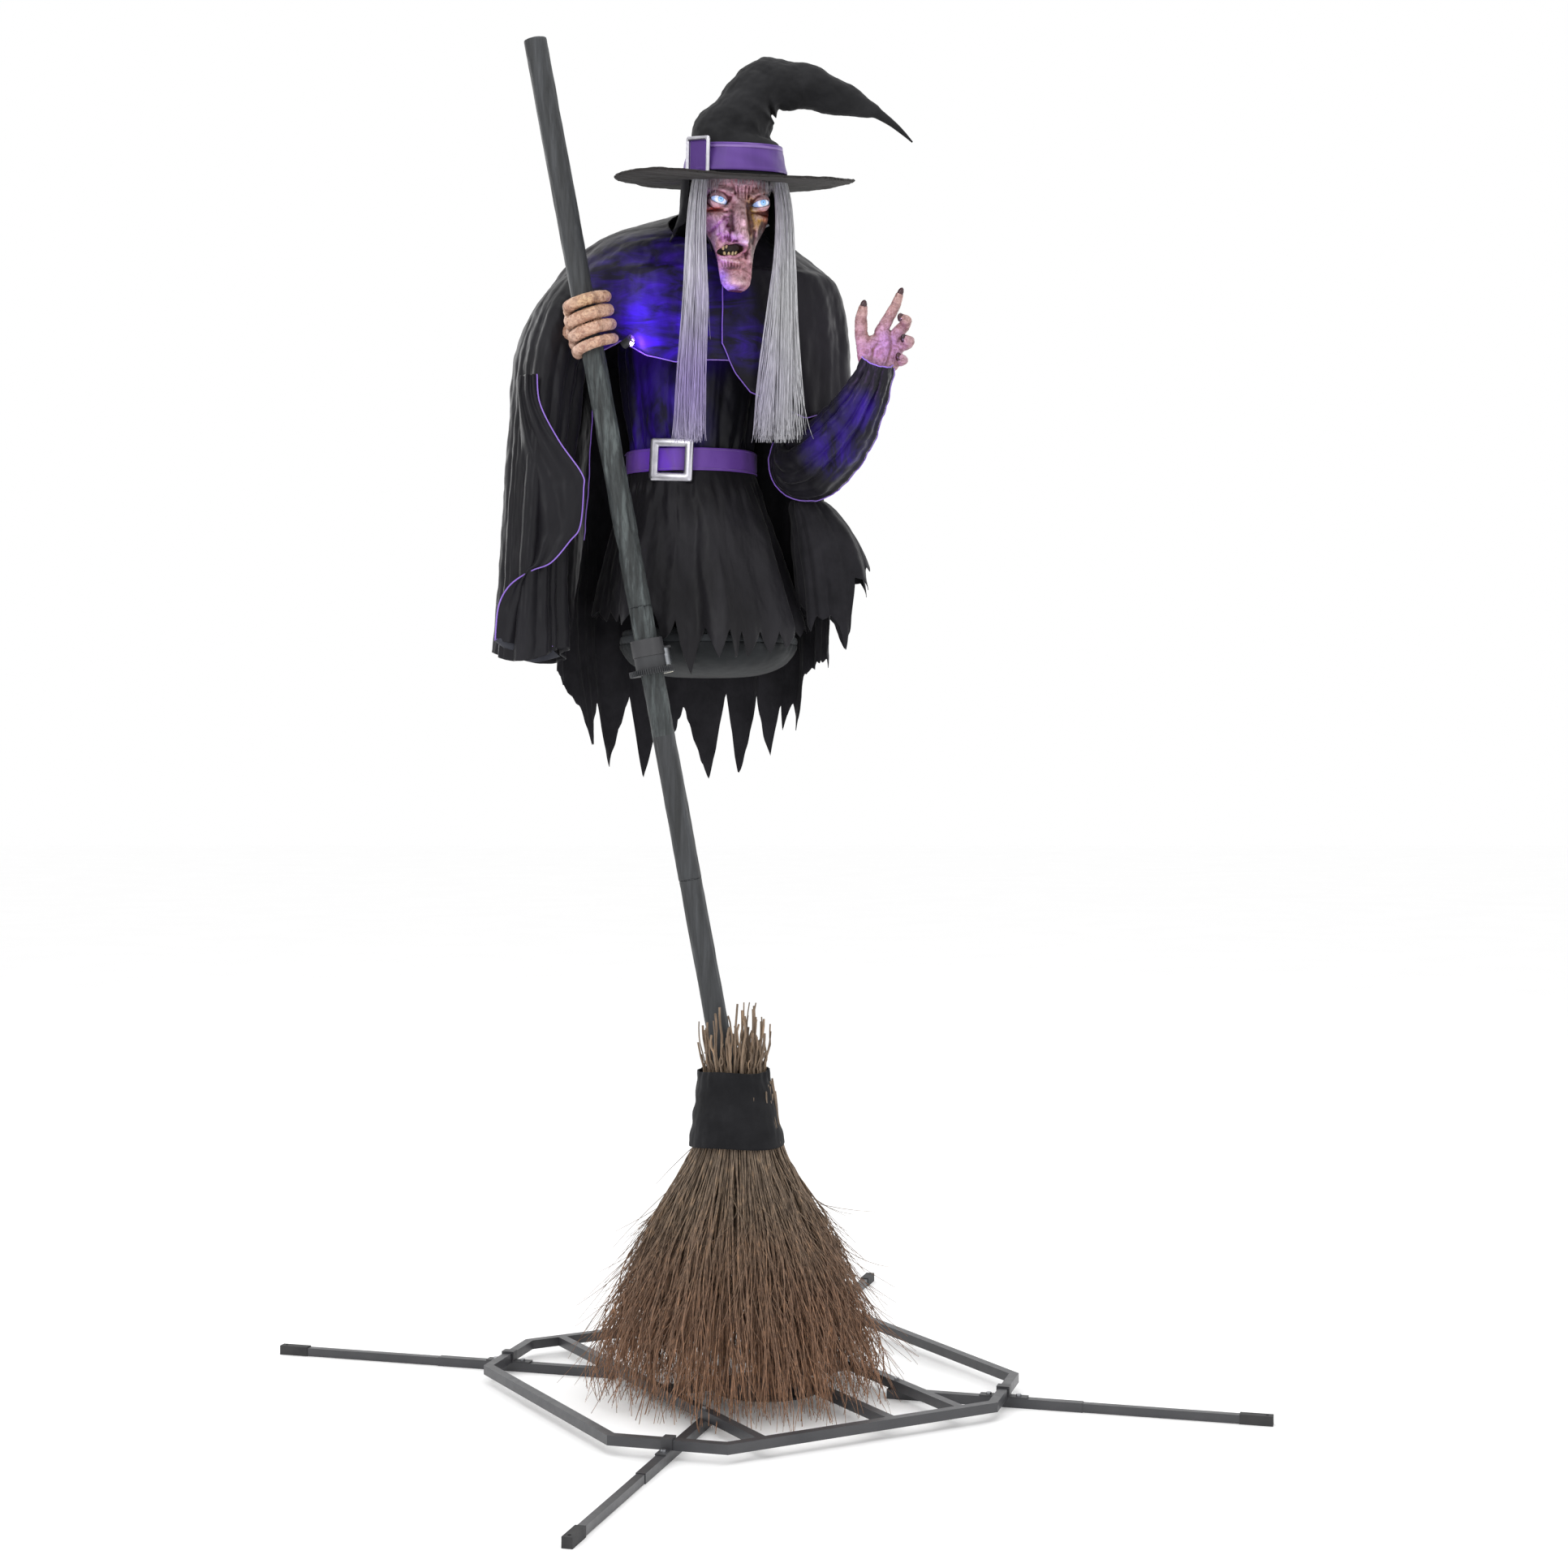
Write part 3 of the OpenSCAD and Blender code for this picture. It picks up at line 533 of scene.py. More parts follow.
def dull_cloth(name, color, lift, rough=0.78, weave=260):
    s = Shader(name, color, rough)
    s.color(s.ramp(s.noise(9, 5, 0.62), (0.3, color), (0.75, lift)))
    s.rough(s.noise(40, 3), rough - 0.06, rough + 0.08)
    s.bump(s.noise(16, 5, 0.6, (1, 1, 0.5)), 0.25, 0.006)
    s.bump(s.wave(weave, "X", distortion=1.5), 0.12, 0.0006)
    s.bump(s.wave(weave, "Z", distortion=1.5), 0.12, 0.0006)
    s.set("Sheen Weight", 0.05)
    s.set("Sheen Roughness", 0.5)
    s.set("Specular IOR Level", 0.10)
    return s.mat


def bark(name, dark, mid, light, coarse):
    s = Shader(name, dark, 0.62)
    turn = (0, math.atan2(STICK_AXIS[0], STICK_AXIS[2]), 0)
    streak = s.noise(60 if coarse else 46, 6, 0.7, (1, 1, 0.10 if coarse else 0.05), turn, 0.3)
    patch = s.noise(9, 4, 0.6, (1, 1, 0.4), turn)
    low = s.ramp(streak, (0.40, dark), (0.53, mid), (0.66, light))
    s.color(s.mix(s.ramp(patch, (0.35, (0.0,)), (0.7, (0.45,))), low, (*mid, 1.0)))
    s.rough(streak, 0.72, 0.45)
    s.bump(streak, 0.55 if coarse else 0.3, 0.004 if coarse else 0.002)
    s.bump(s.noise(300, 4, 0.7, (1, 1, 0.2), turn), 0.3, 0.0008)
    return s.mat


def leather_skin(name, attribute, dark_wash_and_shade, rough=0.48):
    """Painted rubber skin: colours come with the mesh, which carry painted shade in its creases, on the face
    together with the mask's dark wash.
    """
    s = Shader(name, (0.4, 0.2, 0.2), rough)
    tint = s.attribute(attribute)
    mottle = s.ramp(s.noise(75, 5, 0.65), (0.35, (0.62, 0.58, 0.60)), (0.65, (1.0, 1.0, 1.0)))
    tint = s.mix(1.0, tint, mottle, "MULTIPLY")
    veins = s.ramp(s.noise(42, 6, 0.7, distortion=1.2), (0.42, dark_wash_and_shade), (0.52, (1.0, 1.0, 1.0)))
    s.color(s.mix(0.55, tint, s.mix(1.0, tint, veins, "MULTIPLY")))
    s.rough(s.noise(90, 4), rough - 0.10, rough + 0.14)
    s.bump(s.noise(110, 6, 0.7, distortion=0.5), 0.5, 0.0022)
    s.bump(s.cells(620), 0.18, 0.0007)
    s.set("Subsurface Weight", 0.08)
    s.set("Subsurface Radius", (0.004, 0.0015, 0.001))
    s.set("Coat Weight", 0.10)
    return s.mat


def glow_eye(name):
    s = Shader(name, (0.75, 0.9, 1.0), 0.15)
    glow = s.mix(1.0, s.attribute("tint"),
                 s.ramp(s.noise(260, 4, 0.6), (0.3, (0.7, 0.7, 0.7)), (0.6, (1, 1, 1))), "MULTIPLY")
    s.color(glow)
    s.link(glow, "Emission Color")
    s.set("Emission Strength", 0.42)
    s.bump(s.noise(300, 3), 0.05, 0.0003)
    s.set("Coat Weight", 0.6)
    return s.mat


def fibre(name, dark, mid, light, tint=None, centre=None, reach=0):
    s = Shader(name, mid, 0.42)
    base = s.ramp(s.noise(240, 3, 0.7, (1, 1, 0.06)), (0.30, dark), (0.5, mid), (0.72, light))
    if tint is not None:
        # painted violet lamp light: near centre the fibre colour is multiplied towards tint, fading out at
        # reach
        base = s.mix(s.near(centre, reach), base, s.mix(1.0, base, (*tint, 1.0), "MULTIPLY"))
    s.color(base)
    s.rough(s.noise(120, 3), 0.32, 0.55)
    s.bump(s.noise(900, 2, 0.5, (1, 1, 0.1)), 0.15, 0.0003)
    s.set("Anisotropic", 0.5)
    s.set("Sheen Weight", 0.15)
    return s.mat


def twig_bark(name):
    """Twigs: grey-brown near the band, red-brown towards the floor."""
    s = Shader(name, (0.1, 0.05, 0.03), 0.75)
    split = s.make("ShaderNodeSeparateXYZ")
    s.tree.links.new(s.coords(), split.inputs["Vector"])
    height = s.math("ADD", split.outputs["Z"], s.math("MULTIPLY", s.noise(6, 3), 0.30))
    base = s.ramp(s.math("MULTIPLY", height, 0.85), (0.12, (0.262, 0.135, 0.074)),
                  (0.36, (0.220, 0.126, 0.078)),
                  (0.56, (0.185, 0.128, 0.086)), (0.75, (0.150, 0.112, 0.080)),
                  (0.95, (0.215, 0.150, 0.100)))
    tone = s.ramp(s.noise(90, 3, 0.6, (1, 1, 0.12)), (0.30, (0.35, 0.32, 0.30)), (0.55, (1.0, 1.0, 1.0)),
                  (0.75, (1.75, 1.6, 1.4)))
    s.color(s.mix(1.0, base, tone, "MULTIPLY"))
    s.rough(s.noise(200, 3), 0.6, 0.85)
    s.bump(s.noise(600, 4, 0.7, (1, 1, 0.3)), 0.5, 0.0008)
    return s.mat


FRAME_COAT = powder_coat("frame_coat", (0.022, 0.023, 0.027), (0.040, 0.040, 0.044), 0.38)
BRACKET_COAT = powder_coat("bracket_coat", (0.016, 0.016, 0.019), (0.032, 0.032, 0.035), 0.48)
ZINC = bare_metal("zinc_plate", (0.52, 0.53, 0.55), (0.33, 0.34, 0.36), 0.34, (1, 1, 1))
STEEL = bare_metal("drawn_steel", (0.55, 0.56, 0.58), (0.40, 0.41, 0.43), 0.30)
ACETAL = moulded("acetal", (0.64, 0.61, 0.50), (0.72, 0.70, 0.60), 0.36)
MOTOR = bare_metal("motor_can_metal", (0.30, 0.31, 0.33), (0.18, 0.19, 0.20), 0.36)
BOARD = Shader("plywood_board", (0.36, 0.24, 0.12), 0.6)
BOARD.color(BOARD.ramp(BOARD.noise(14, 5, 0.7, (1, 7, 1)), (0.3, (0.25, 0.15, 0.07)),
                       (0.7, (0.45, 0.31, 0.17))))
BOARD.bump(BOARD.noise(60, 5, 0.7, (1, 8, 1)), 0.3, 0.001)
BOARD = BOARD.mat
CASE = moulded("case_grain", (0.018, 0.019, 0.022), (0.035, 0.036, 0.040), 0.5)
RED = moulded("switch_cap", (0.45, 0.012, 0.018), (0.55, 0.03, 0.03), 0.3)
RUBBER = moulded("shoe_rubber_grain", (0.016, 0.016, 0.018), (0.035, 0.034, 0.034), 0.72)
BAND_CLOTH = dull_cloth("wrapped_band", (0.006, 0.006, 0.007), (0.016, 0.016, 0.018), 0.78)
TWIGS = twig_bark("twig_bark")
BARK = bark("stick_coarse", (0.006, 0.008, 0.008), (0.026, 0.032, 0.033), (0.082, 0.098, 0.098), True)
SMOOTH = bark("stick_streaked", (0.010, 0.011, 0.012), (0.024, 0.026, 0.029), (0.046, 0.050, 0.056), False)
# Centres and reaches of the violet lamp light painted into the satin of the cape, bodice, left sleeve and
# belt.
CHEST = ((-290, 90, 2930), 330, 60)
RIBS = ((-300, 190, 2640), 230, 40)
SHIN = ((-60, 60, 2980), 120, 10)
CAPE_SATIN = satin("cape_satin", (0.0045, 0.004, 0.0065), (0.014, 0.012, 0.018),
                   (CHEST, SHIN, ((0, 80, 2860), 110, 10)),
                   glow_fold_stretch=(0.8, 0.8, 2.2))
BODICE_SATIN = satin("bodice_satin", (0.004, 0.004, 0.006), (0.012, 0.011, 0.016), (RIBS, CHEST))
BELL_SATIN = satin("sleeve_satin", (0.0045, 0.004, 0.0065), (0.013, 0.012, 0.017),
                   (((235, 40, 2560), 120, 20), ((300, 0, 2650), 90, 10)))
BLACK_SATIN = satin("black_satin_cloth", (0.0045, 0.0042, 0.006), (0.014, 0.0135, 0.017))
SKIRT_SATIN = satin("skirt_satin", (0.006, 0.0055, 0.007), (0.020, 0.019, 0.023), rough=0.42)
RAG_CLOTH = dull_cloth("ragged_cloth", (0.0065, 0.0062, 0.008), (0.020, 0.019, 0.023), 0.62)
HOOD_CLOTH = dull_cloth("hood_cloth", (0.004, 0.004, 0.005), (0.011, 0.011, 0.013), 0.72)
LINING = dull_cloth("sleeve_lining", (0.020, 0.021, 0.028), (0.050, 0.052, 0.064), 0.6)
PIPING = satin("piping_satin", (0.20, 0.10, 0.48), (0.36, 0.24, 0.68), rough=0.34)
BELT_SATIN = satin("belt_satin", (0.115, 0.048, 0.27), (0.20, 0.10, 0.42), (((-262, 200, 2546), 120, 20),),
                   0.34, (0.10, 0.02, 0.46), 0.6)
HAT_BAND_SATIN = satin("hat_band_satin", (0.095, 0.042, 0.225), (0.155, 0.080, 0.33), rough=0.36)
BAND_EDGE = satin("hat_band_edge", (0.20, 0.12, 0.36), (0.29, 0.19, 0.47), rough=0.34)
SILVER = bare_metal("buckle_metal", (0.66, 0.65, 0.70), (0.46, 0.45, 0.50), 0.30, (1, 1, 1))
PAN_CLOTH = dull_cloth("seat_cover", (0.008, 0.009, 0.010), (0.018, 0.020, 0.022), 0.6)
PAN_RIM = dull_cloth("seat_rim", (0.016, 0.018, 0.020), (0.034, 0.037, 0.041), 0.6)
FELT = dull_cloth("hat_felt_cloth", (0.010, 0.010, 0.011), (0.024, 0.024, 0.026), 0.82, 180)
BRIM_FELT = dull_cloth("brim_felt", (0.018, 0.016, 0.0155), (0.042, 0.038, 0.036), 0.85, 180)
SKIN = leather_skin("mask_skin", "tint", (0.30, 0.16, 0.14))
HAND_SKIN = leather_skin("hand_rubber", "tint", (0.42, 0.24, 0.18), 0.5)
NAIL = moulded("nail_gloss", (0.020, 0.006, 0.010), (0.060, 0.016, 0.022), 0.24)
TOOTH = moulded("tooth", (0.50, 0.36, 0.16), (0.66, 0.55, 0.32), 0.32)
EYE = glow_eye("eye_light")
# the violet tint round the chest is painted lamp light on the grey hair
HAIR = fibre("hair_grey", (0.26, 0.26, 0.28), (0.48, 0.48, 0.50), (0.68, 0.68, 0.71), (0.66, 0.52, 1.0),
             (-160, 0, 2720), 330)
BROW_HAIR = fibre("fringe_hair", (0.12, 0.11, 0.12), (0.28, 0.26, 0.28), (0.55, 0.53, 0.56))
LENS = Shader("lamp_lens", (0.75, 0.55, 1.0), 0.12)
LENS.link(LENS.ramp(LENS.cells(400), (0.0, (0.75, 0.5, 1.0)), (0.6, (0.95, 0.85, 1.0))), "Emission Color")
LENS.set("Emission Strength", 9.0)
LENS = LENS.mat

NODE_LOOKS = [
    (FRAME_COAT, "frame_tubes floor_rails leg_sockets leg_extensions"),
    (RUBBER, "leg_shoes"),
    (BRACKET_COAT, "saddle_clamps ground_plate pole_socket seat_bracket"),
    (ZINC, "base_bolts socket_bolt snap_button_1 snap_button_2 snap_button_3 spine_frame costume_hoops "
           "arm_frame forearm_frame"),
    (STEEL, "pole_lower pole_middle pole_upper pole_top"),
    (CASE, "sway_gear control_box battery_door speaker spotlight"),
    (ACETAL, "sway_pinion neck_gear head_pinion"),
    (MOTOR, "sway_motor head_drive"),
    (BOARD, "seat_plate"),
    (RED, "power_switch")]
for look, names in NODE_LOOKS:
    for node_name in names.split():
        shown = frame["nodes"][node_name].data
        shown.materials.clear()
        shown.materials.append(look)


# ---------- camera, light and floor ----------

def stage_set():
    camera = bpy.data.cameras.new("camera")
    camera.lens = CAMERA_LENS
    camera.sensor_width = CAMERA_SENSOR
    holder = bpy.data.objects.new("camera", camera)
    holder.location = CAMERA_AT
    holder.rotation_euler = (math.pi / 2 - CAMERA_DOWN, 0, 0)
    bpy.context.collection.objects.link(holder)
    bpy.context.scene.camera = holder
    bpy.context.scene.view_settings.view_transform = "Standard"

    world = bpy.data.worlds.new("studio")
    world.use_nodes = True
    world.node_tree.nodes["Background"].inputs["Color"].default_value = (1.0, 1.0, 1.0, 1)
    world.node_tree.nodes["Background"].inputs["Strength"].default_value = 1.0
    bpy.context.scene.world = world

    floor_mat = Shader("floor_paint", (0.86, 0.86, 0.87), 0.9)
    floor_mat.color(floor_mat.ramp(floor_mat.noise(1.5, 3), (0.3, (0.985, 0.985, 0.985)),
                                   (0.7, (1.0, 1.0, 1.0))))
    floor_mat.bump(floor_mat.noise(90, 3), 0.05, 0.0006)
    side = np.linspace(-FLOOR_HALF, FLOOR_HALF, 9)
    floor = grid_mesh("floor", np.array([[(x, y, 0) for x in side] for y in side]), floor_mat.mat)
    if floor.data.polygons[0].normal.z < 0:
        floor.data.flip_normals()

    def panel(name, at, aim, size, power):
        data = bpy.data.lights.new(name, "AREA")
        data.shape = "RECTANGLE"
        data.size = size[0]
        data.size_y = size[1]
        data.energy = power
        light = bpy.data.objects.new(name, data)
        light.location = at
        light.rotation_euler = (Vector(aim) - Vector(at)).to_track_quat("-Z", "Y").to_euler()
        bpy.context.collection.objects.link(light)

    panel("key", (-3.4, -4.6, 4.6), (-0.1, 0.1, 2.4), (2.4, 2.8), 92)
    panel("fill", (3.8, -4.2, 2.6), (0, 0.1, 2.2), (2.6, 3.2), 34)
    panel("top", (0.2, -0.6, 6.2), (0, 0.2, 2.0), (3.2, 3.2), 55)
    panel("rim_left", (-3.2, 2.6, 3.4), (-0.1, 0.2, 2.6), (1.2, 2.6), 38)
    panel("rim_right", (3.2, 2.6, 3.2), (0.0, 0.2, 2.4), (1.2, 2.6), 38)
    panel("ground", (0.2, -4.0, 0.9), (0, 0, 0.3), (3.0, 1.2), 14)


def lamp(name, at, aim, power, spot, color, body, radius=0.02):
    """A small violet lamp that rides with the figure."""
    data = bpy.data.lights.new(name, "SPOT")
    data.energy = power
    data.color = color
    data.spot_size = math.radians(spot)
    data.spot_blend = 0.7
    data.shadow_soft_size = radius
    holder = bpy.data.objects.new(name, data)
    holder.location = np.array(at) * MM
    way = Vector(np.array(aim, float) - np.array(at, float))
    holder.rotation_euler = way.to_track_quat("-Z", "Y").to_euler()
    bpy.context.collection.objects.link(holder)
    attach(holder, body)


# ---------- stick ----------

def stick():
    """The four shells as grained, slightly uneven wood, coarse in the middle two."""
    spans = []
    for k in range(1, 5):
        lo, hi = node_box(f"handle_shell_{k}")
        half = STICK_RADIUS * abs(STICK_AXIS[0])
        spans.append(((lo[2] + half) / STICK_AXIS[2], (hi[2] - half) / STICK_AXIS[2]))
    for k, (low, high) in enumerate(spans, 1):
        rows = int((high - low) / 5)
        cols = 72
        s = np.linspace(low - 0.1, high + 0.1, rows)[:, None]
        a = np.linspace(0, TAU, cols, endpoint=False)[None, :]
        s = s + 0 * a
        a = a + 0 * s
        flat = around(STICK_RADIUS, a, s)
        coarse = step_up(s, 1760, 1860) * (1 - step_up(s, 2800, 2900))
        streak = fbm(flat, 1 / 9, 3, 3.0 + k, (1, 1, 0.07))
        gouge = fbm(flat, 1 / 14, 3, 9.0 + k, (1, 1, 0.16))
        knot = fbm(flat, 1 / 60, 2, 21.0 + k)
        pits = np.clip(-gouge, 0, 1) * 6.0 + np.clip(gouge, 0, 1) * -0.6
        cut = np.clip(-streak, 0, 1) * 2.2 + coarse * pits
        r = 31.3 - cut - 0.8 * np.clip(knot, -1, 1)
        r = np.clip(r, 26.5, STICK_RADIUS)
        end = np.minimum(s - low, high - s)
        r = r - 0.5 * (1 - step_up(end, 0, 3))
        points = (STICK_FOOT + STICK_AXIS * s[..., None]
                  + (STICK_SIDE * np.cos(a)[..., None] + STICK_BACK * np.sin(a)[..., None]) * r[..., None])
        shell = grid_mesh(f"handle_wood_{k}", points, SMOOTH, wrap=True, caps=(True, True))
        shell.data.materials.append(BARK)
        faces = (rows - 1) * cols
        middle = 0.25 * (coarse[1:, :] + coarse[:-1, :]).ravel()
        index = np.zeros(len(shell.data.polygons), dtype=np.int32)
        index[:faces] = (middle > 0.2).astype(np.int32)
        shell.data.polygons.foreach_set("material_index", index)
        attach(shell, "base")
        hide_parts(f"handle_shell_{k}")
    ring = [on_stick(GRIP_AT, a, STICK_RADIUS + 0.4) for a in np.arange(0, 361, 10)]
    seam = tubes("handle_joint_line", [ring], [0.7], SMOOTH, 6)
    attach(seam, "base")


# ---------- twigs ----------

def bundle_radius(z):
    """Half-widths and centre of the bundle at a height."""
    zs = [20, 70, 150, 220, 400, 560, 664, 760, 862, 940, 1005]
    rx = [396, 390, 372, 350, 268, 172, 116, 100, 88, 104, 110]
    ry = [490, 446, 390, 345, 252, 152, 104, 93, 84, 96, 100]
    cy = [-84, -70, -55, -45, -22, -6, 0, 0, 0, 0, 0]
    return np.interp(z, zs, rx), np.interp(z, zs, ry), np.interp(z, zs, cy)


def long_twig(rng, share, low, width):
    """One twig from the band down to low, at a share of the bundle's half-width."""
    a = rng.uniform(0, TAU)
    n = 16
    z = np.linspace(rng.uniform(690, 850), low, n)
    rx, ry, cy = bundle_radius(z)
    spread = share * (1 + 0.05 * np.sin(z / rng.uniform(28, 60) + rng.uniform(0, 6)))
    drift = a + rng.uniform(-0.26, 0.26) * np.linspace(0, 1, n) ** 1.4
    wob = np.cumsum(rng.normal(0, 2.0, (n, 2)), axis=0) * step_up(680 - z, 0, 120)[:, None]
    x = -28 + rx * spread * np.cos(drift) + wob[:, 0]
    y = cy + ry * spread * np.sin(drift) + wob[:, 1]
    path = spline(np.stack([x, y, z], -1), 20)
    return path, np.linspace(width, width * 0.35, len(path))


def side_twig(rng, path):
    """A fine shoot off a long twig, kept off the floor."""
    at = rng.integers(6, 17)
    root = path[at]
    way = unit(path[at + 1] - path[at])
    out = unit([root[0] + 28, root[1], 0]) * rng.uniform(0.02, 0.45)
    way = unit(way + out * 0.5 + rng.normal(0, 0.18, 3))
    long = rng.uniform(80, 230)
    bend = rng.normal(0, 0.14, 3) * long - np.array([0, 0, 0.10 * long])
    t = np.linspace(0, 1, 6)[:, None]
    drop = (root + way * long + bend)[2]
    if drop < 16:
        t = t * (root[2] - 16) / max(root[2] - drop, 1)
    return root + way * long * t + bend * t**2, np.linspace(1.3, 0.5, 6)


def twigs():
    rng = np.random.default_rng(71)
    sets = {"twigs_main": [], "twigs_inner": [], "twigs_fine": [], "twigs_fine_low": []}
    for k in range(1500):
        inner = k % 3 == 0
        share = math.sqrt(rng.uniform(0.02, 0.45)) if inner else math.sqrt(rng.uniform(0.35, 1.0))
        low = rng.uniform(14, 90) if rng.random() < 0.8 else rng.uniform(90, 380)
        path, radii = long_twig(rng, share, low, rng.uniform(1.6, 3.3))
        sets["twigs_inner" if inner else "twigs_main"].append((path, radii))
        for _ in range(rng.integers(2, 5)):
            sets["twigs_fine_low" if k % 2 else "twigs_fine"].append(side_twig(rng, path))
    tops = []
    tops_r = []
    for _ in range(150):
        a = rng.uniform(0, TAU)
        share = rng.uniform(0.42, 0.98)
        high = rng.uniform(900, 1010) if rng.random() < 0.93 else rng.uniform(1010, 1055)
        z = np.linspace(840, high, 6)
        rx, ry, cy = bundle_radius(z)
        lean = rng.uniform(-0.12, 0.12) * np.linspace(0, 1, 6)
        x = -40 + (rx - 3) * share * np.cos(a + lean) + rng.normal(0, 2.5, 6)
        y = cy + (ry - 3) * share * np.sin(a + lean) + rng.normal(0, 2.5, 6)
        gap = np.hypot(x - STICK_FOOT[0] - STICK_AXIS[0] / STICK_AXIS[2] * z, y)
        if gap.min() < 38:
            continue
        path = spline(np.stack([x, y, z], -1), 9)
        width = rng.uniform(1.8, 4.2)
        tops.append(path)
        tops_r.append(np.linspace(width, width * 0.8, 9))
    made = []
    for name, twig in sets.items():
        sides = 3 if "fine" in name else 5
        made.append(tubes(name, [p for p, _ in twig], [r for _, r in twig], TWIGS, sides, (0.3, 0.1, 0.95)))
    made.append(tubes("twig_stubs", tops, tops_r, TWIGS, 6, (0.2, 0.98, 0.05)))
    for obj in made:
        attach(obj, "base")
    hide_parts("twig_bundle")


def binding():
    """The cloth band wound round the top of the twigs."""
    rows = 40
    cols = 150
    z = np.linspace(664, 866, rows)[:, None]
    a = np.linspace(0, TAU, cols, endpoint=False)[None, :]
    z = z + 0 * a + 3.0 * np.sin(a * 3 + 1) * step_up(np.abs(z - 765), 80, 101)
    a = a + 0 * z
    zs = [664, 760, 862]
    rx = np.interp(z, zs, [131, 112, 96])
    ry = np.interp(z, zs, [117, 104, 92])
    cx = np.interp(z, zs, [-34, -39, -43])
    spot = np.stack([rx * np.cos(a), ry * np.sin(a), z], -1)
    push = 2.0 * fbm(spot, 1 / 26, 3, 5.0, (1, 1, 0.4)) + 1.2 * np.sin(z / 9 + 1.5 * np.sin(a * 2))
    push = push + 1.6 * np.sin(a * 21 + 2 * np.sin(a * 3)) * step_up(z, 800, 866) - 1.5
    band = np.stack([cx + (rx + push) * np.cos(a), (ry + push) * np.sin(a), z], -1)
    wrap = grid_mesh("binding_wrap", band, BAND_CLOTH, wrap=True, thick=3.0)
    wrap["wrapped"] = True
    declare(wrap, band)
    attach(wrap, "base")
    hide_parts("broom_binding")


# ---------- garments ----------

def closed_ring(cols):
    return np.linspace(0, TAU, cols, endpoint=False)


def deg(a):
    return math.radians(a)


def finish_cloth(obj, points, body, nodes=()):
    """Declares a sheet and says which body it rides on, which nodes it replaces."""
    declare(obj, points)
    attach(obj, body)
    if nodes:
        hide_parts(*nodes)


CAPE = [level(-178, 352, 2600, 452, 250), level(-175, 355, 2850, 450, 258), level(-168, 352, 2960, 434, 254),
        level(-160, 345, 3050, 402, 246), tilted((-150, 332, 3120), (0.05, -0.22, 1), 338, 228),
        tilted((-135, 305, 3178), (0.08, -0.34, 0.95), 238, 190),
        tilted((-102, 245, 3200), (0.06, -0.5, 0.86), 128, 146)]


def cape():
    """Two panels of the shoulder cape, one lapping over the other in front, with piped hems."""
    def fold(th, v):
        grow = 0.15 + 0.85 * v**1.3
        out = pleats(th, v, 5, (9, 15, 24), (9, 6, 3)) * grow
        out = out - 22 * hump(v, 0.66, 0.30) * hump(th, -1.25, 0.5)
        return out - 7 * hump(v, 0.35, 0.2) * np.abs(np.sin(th * 4))

    for side in (0, 1):
        if side == 0:
            theta = np.radians(np.linspace(-268, -70, 210))
            x = -178 + 452 * np.cos(theta)
            hem = np.interp(x, [-630, -520, -355, -284, -210, -90, 40],
                            [2740, 2800, 2856, 2810, 2796, 2800, 2800])
            front = np.sin(theta) < 0
            hem = np.where(front, hem, np.interp(x, [-630, 0], [2740, 2760]))
            lift = 0.0
        else:
            theta = np.radians(np.linspace(-77.5, 94, 190))
            x = -178 + 452 * np.cos(theta)
            hem = np.interp(x, [-80, -60, -43, -5, 150, 240, 275],
                            [2850, 2800, 2769, 2724, 2669, 2700, 2760])
            front = np.sin(theta) < 0
            hem = np.where(front, hem, np.interp(x, [-300, 275], [2740, 2760]))
            lift = 6.0
        points = garment(CAPE, theta, len(CAPE) - 1.0, at_height(CAPE, hem), 110, fold, 4.0, 2.0)
        v = np.linspace(0, 1, 110)[:, None]
        centre = np.array([-160, 345, 0])
        out = points - centre
        out[..., 2] = 0
        out /= np.linalg.norm(out, axis=-1, keepdims=True)
        points = points + out * lift * v[..., None]
        obj = grid_mesh(f"cape_panel_{side}", points, CAPE_SATIN, thick=1.8)
        if side == 0:
            edge = points[-1, :]
        else:
            edge = np.concatenate([points[25:-1, 0], points[-1, :]])
        trim = piping(f"cape_piping_{side}", edge - [0, 2.0, 0], PIPING, 1.7)
        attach(trim, "figure")
        finish_cloth(obj, points, "figure", ("cape",) if side == 0 else ())


def bodice():
    sections = [level(-172, 350, 2560, 166, 130), level(-170, 352, 2700, 188, 148),
                level(-165, 362, 2860, 208, 164), level(-160, 370, 3000, 188, 150)]
    theta = closed_ring(260)

    def fold(th, v):
        seams = sum(hump(np.mod(th - deg(a) + math.pi, TAU) - math.pi, 0, 0.02)
                    for a in (-112, -68, -20, 200))
        out = pleats(th, v, 12, (7, 13, 21), (5, 4, 2.5), 0.8) * (0.5 + 0.5 * np.sin(math.pi * v))
        return out + 5 * hump(v, 0.92, 0.07) * np.sin(th * 26) - 3.0 * seams

    points = garment(sections, theta, 3.0, np.zeros(260), 110, fold, 4.0, 7.0)
    obj = grid_mesh("bodice_cloth", points, BODICE_SATIN, wrap=True, thick=1.8)
    obj["wrapped"] = True
    finish_cloth(obj, points, "figure", ("bodice",))


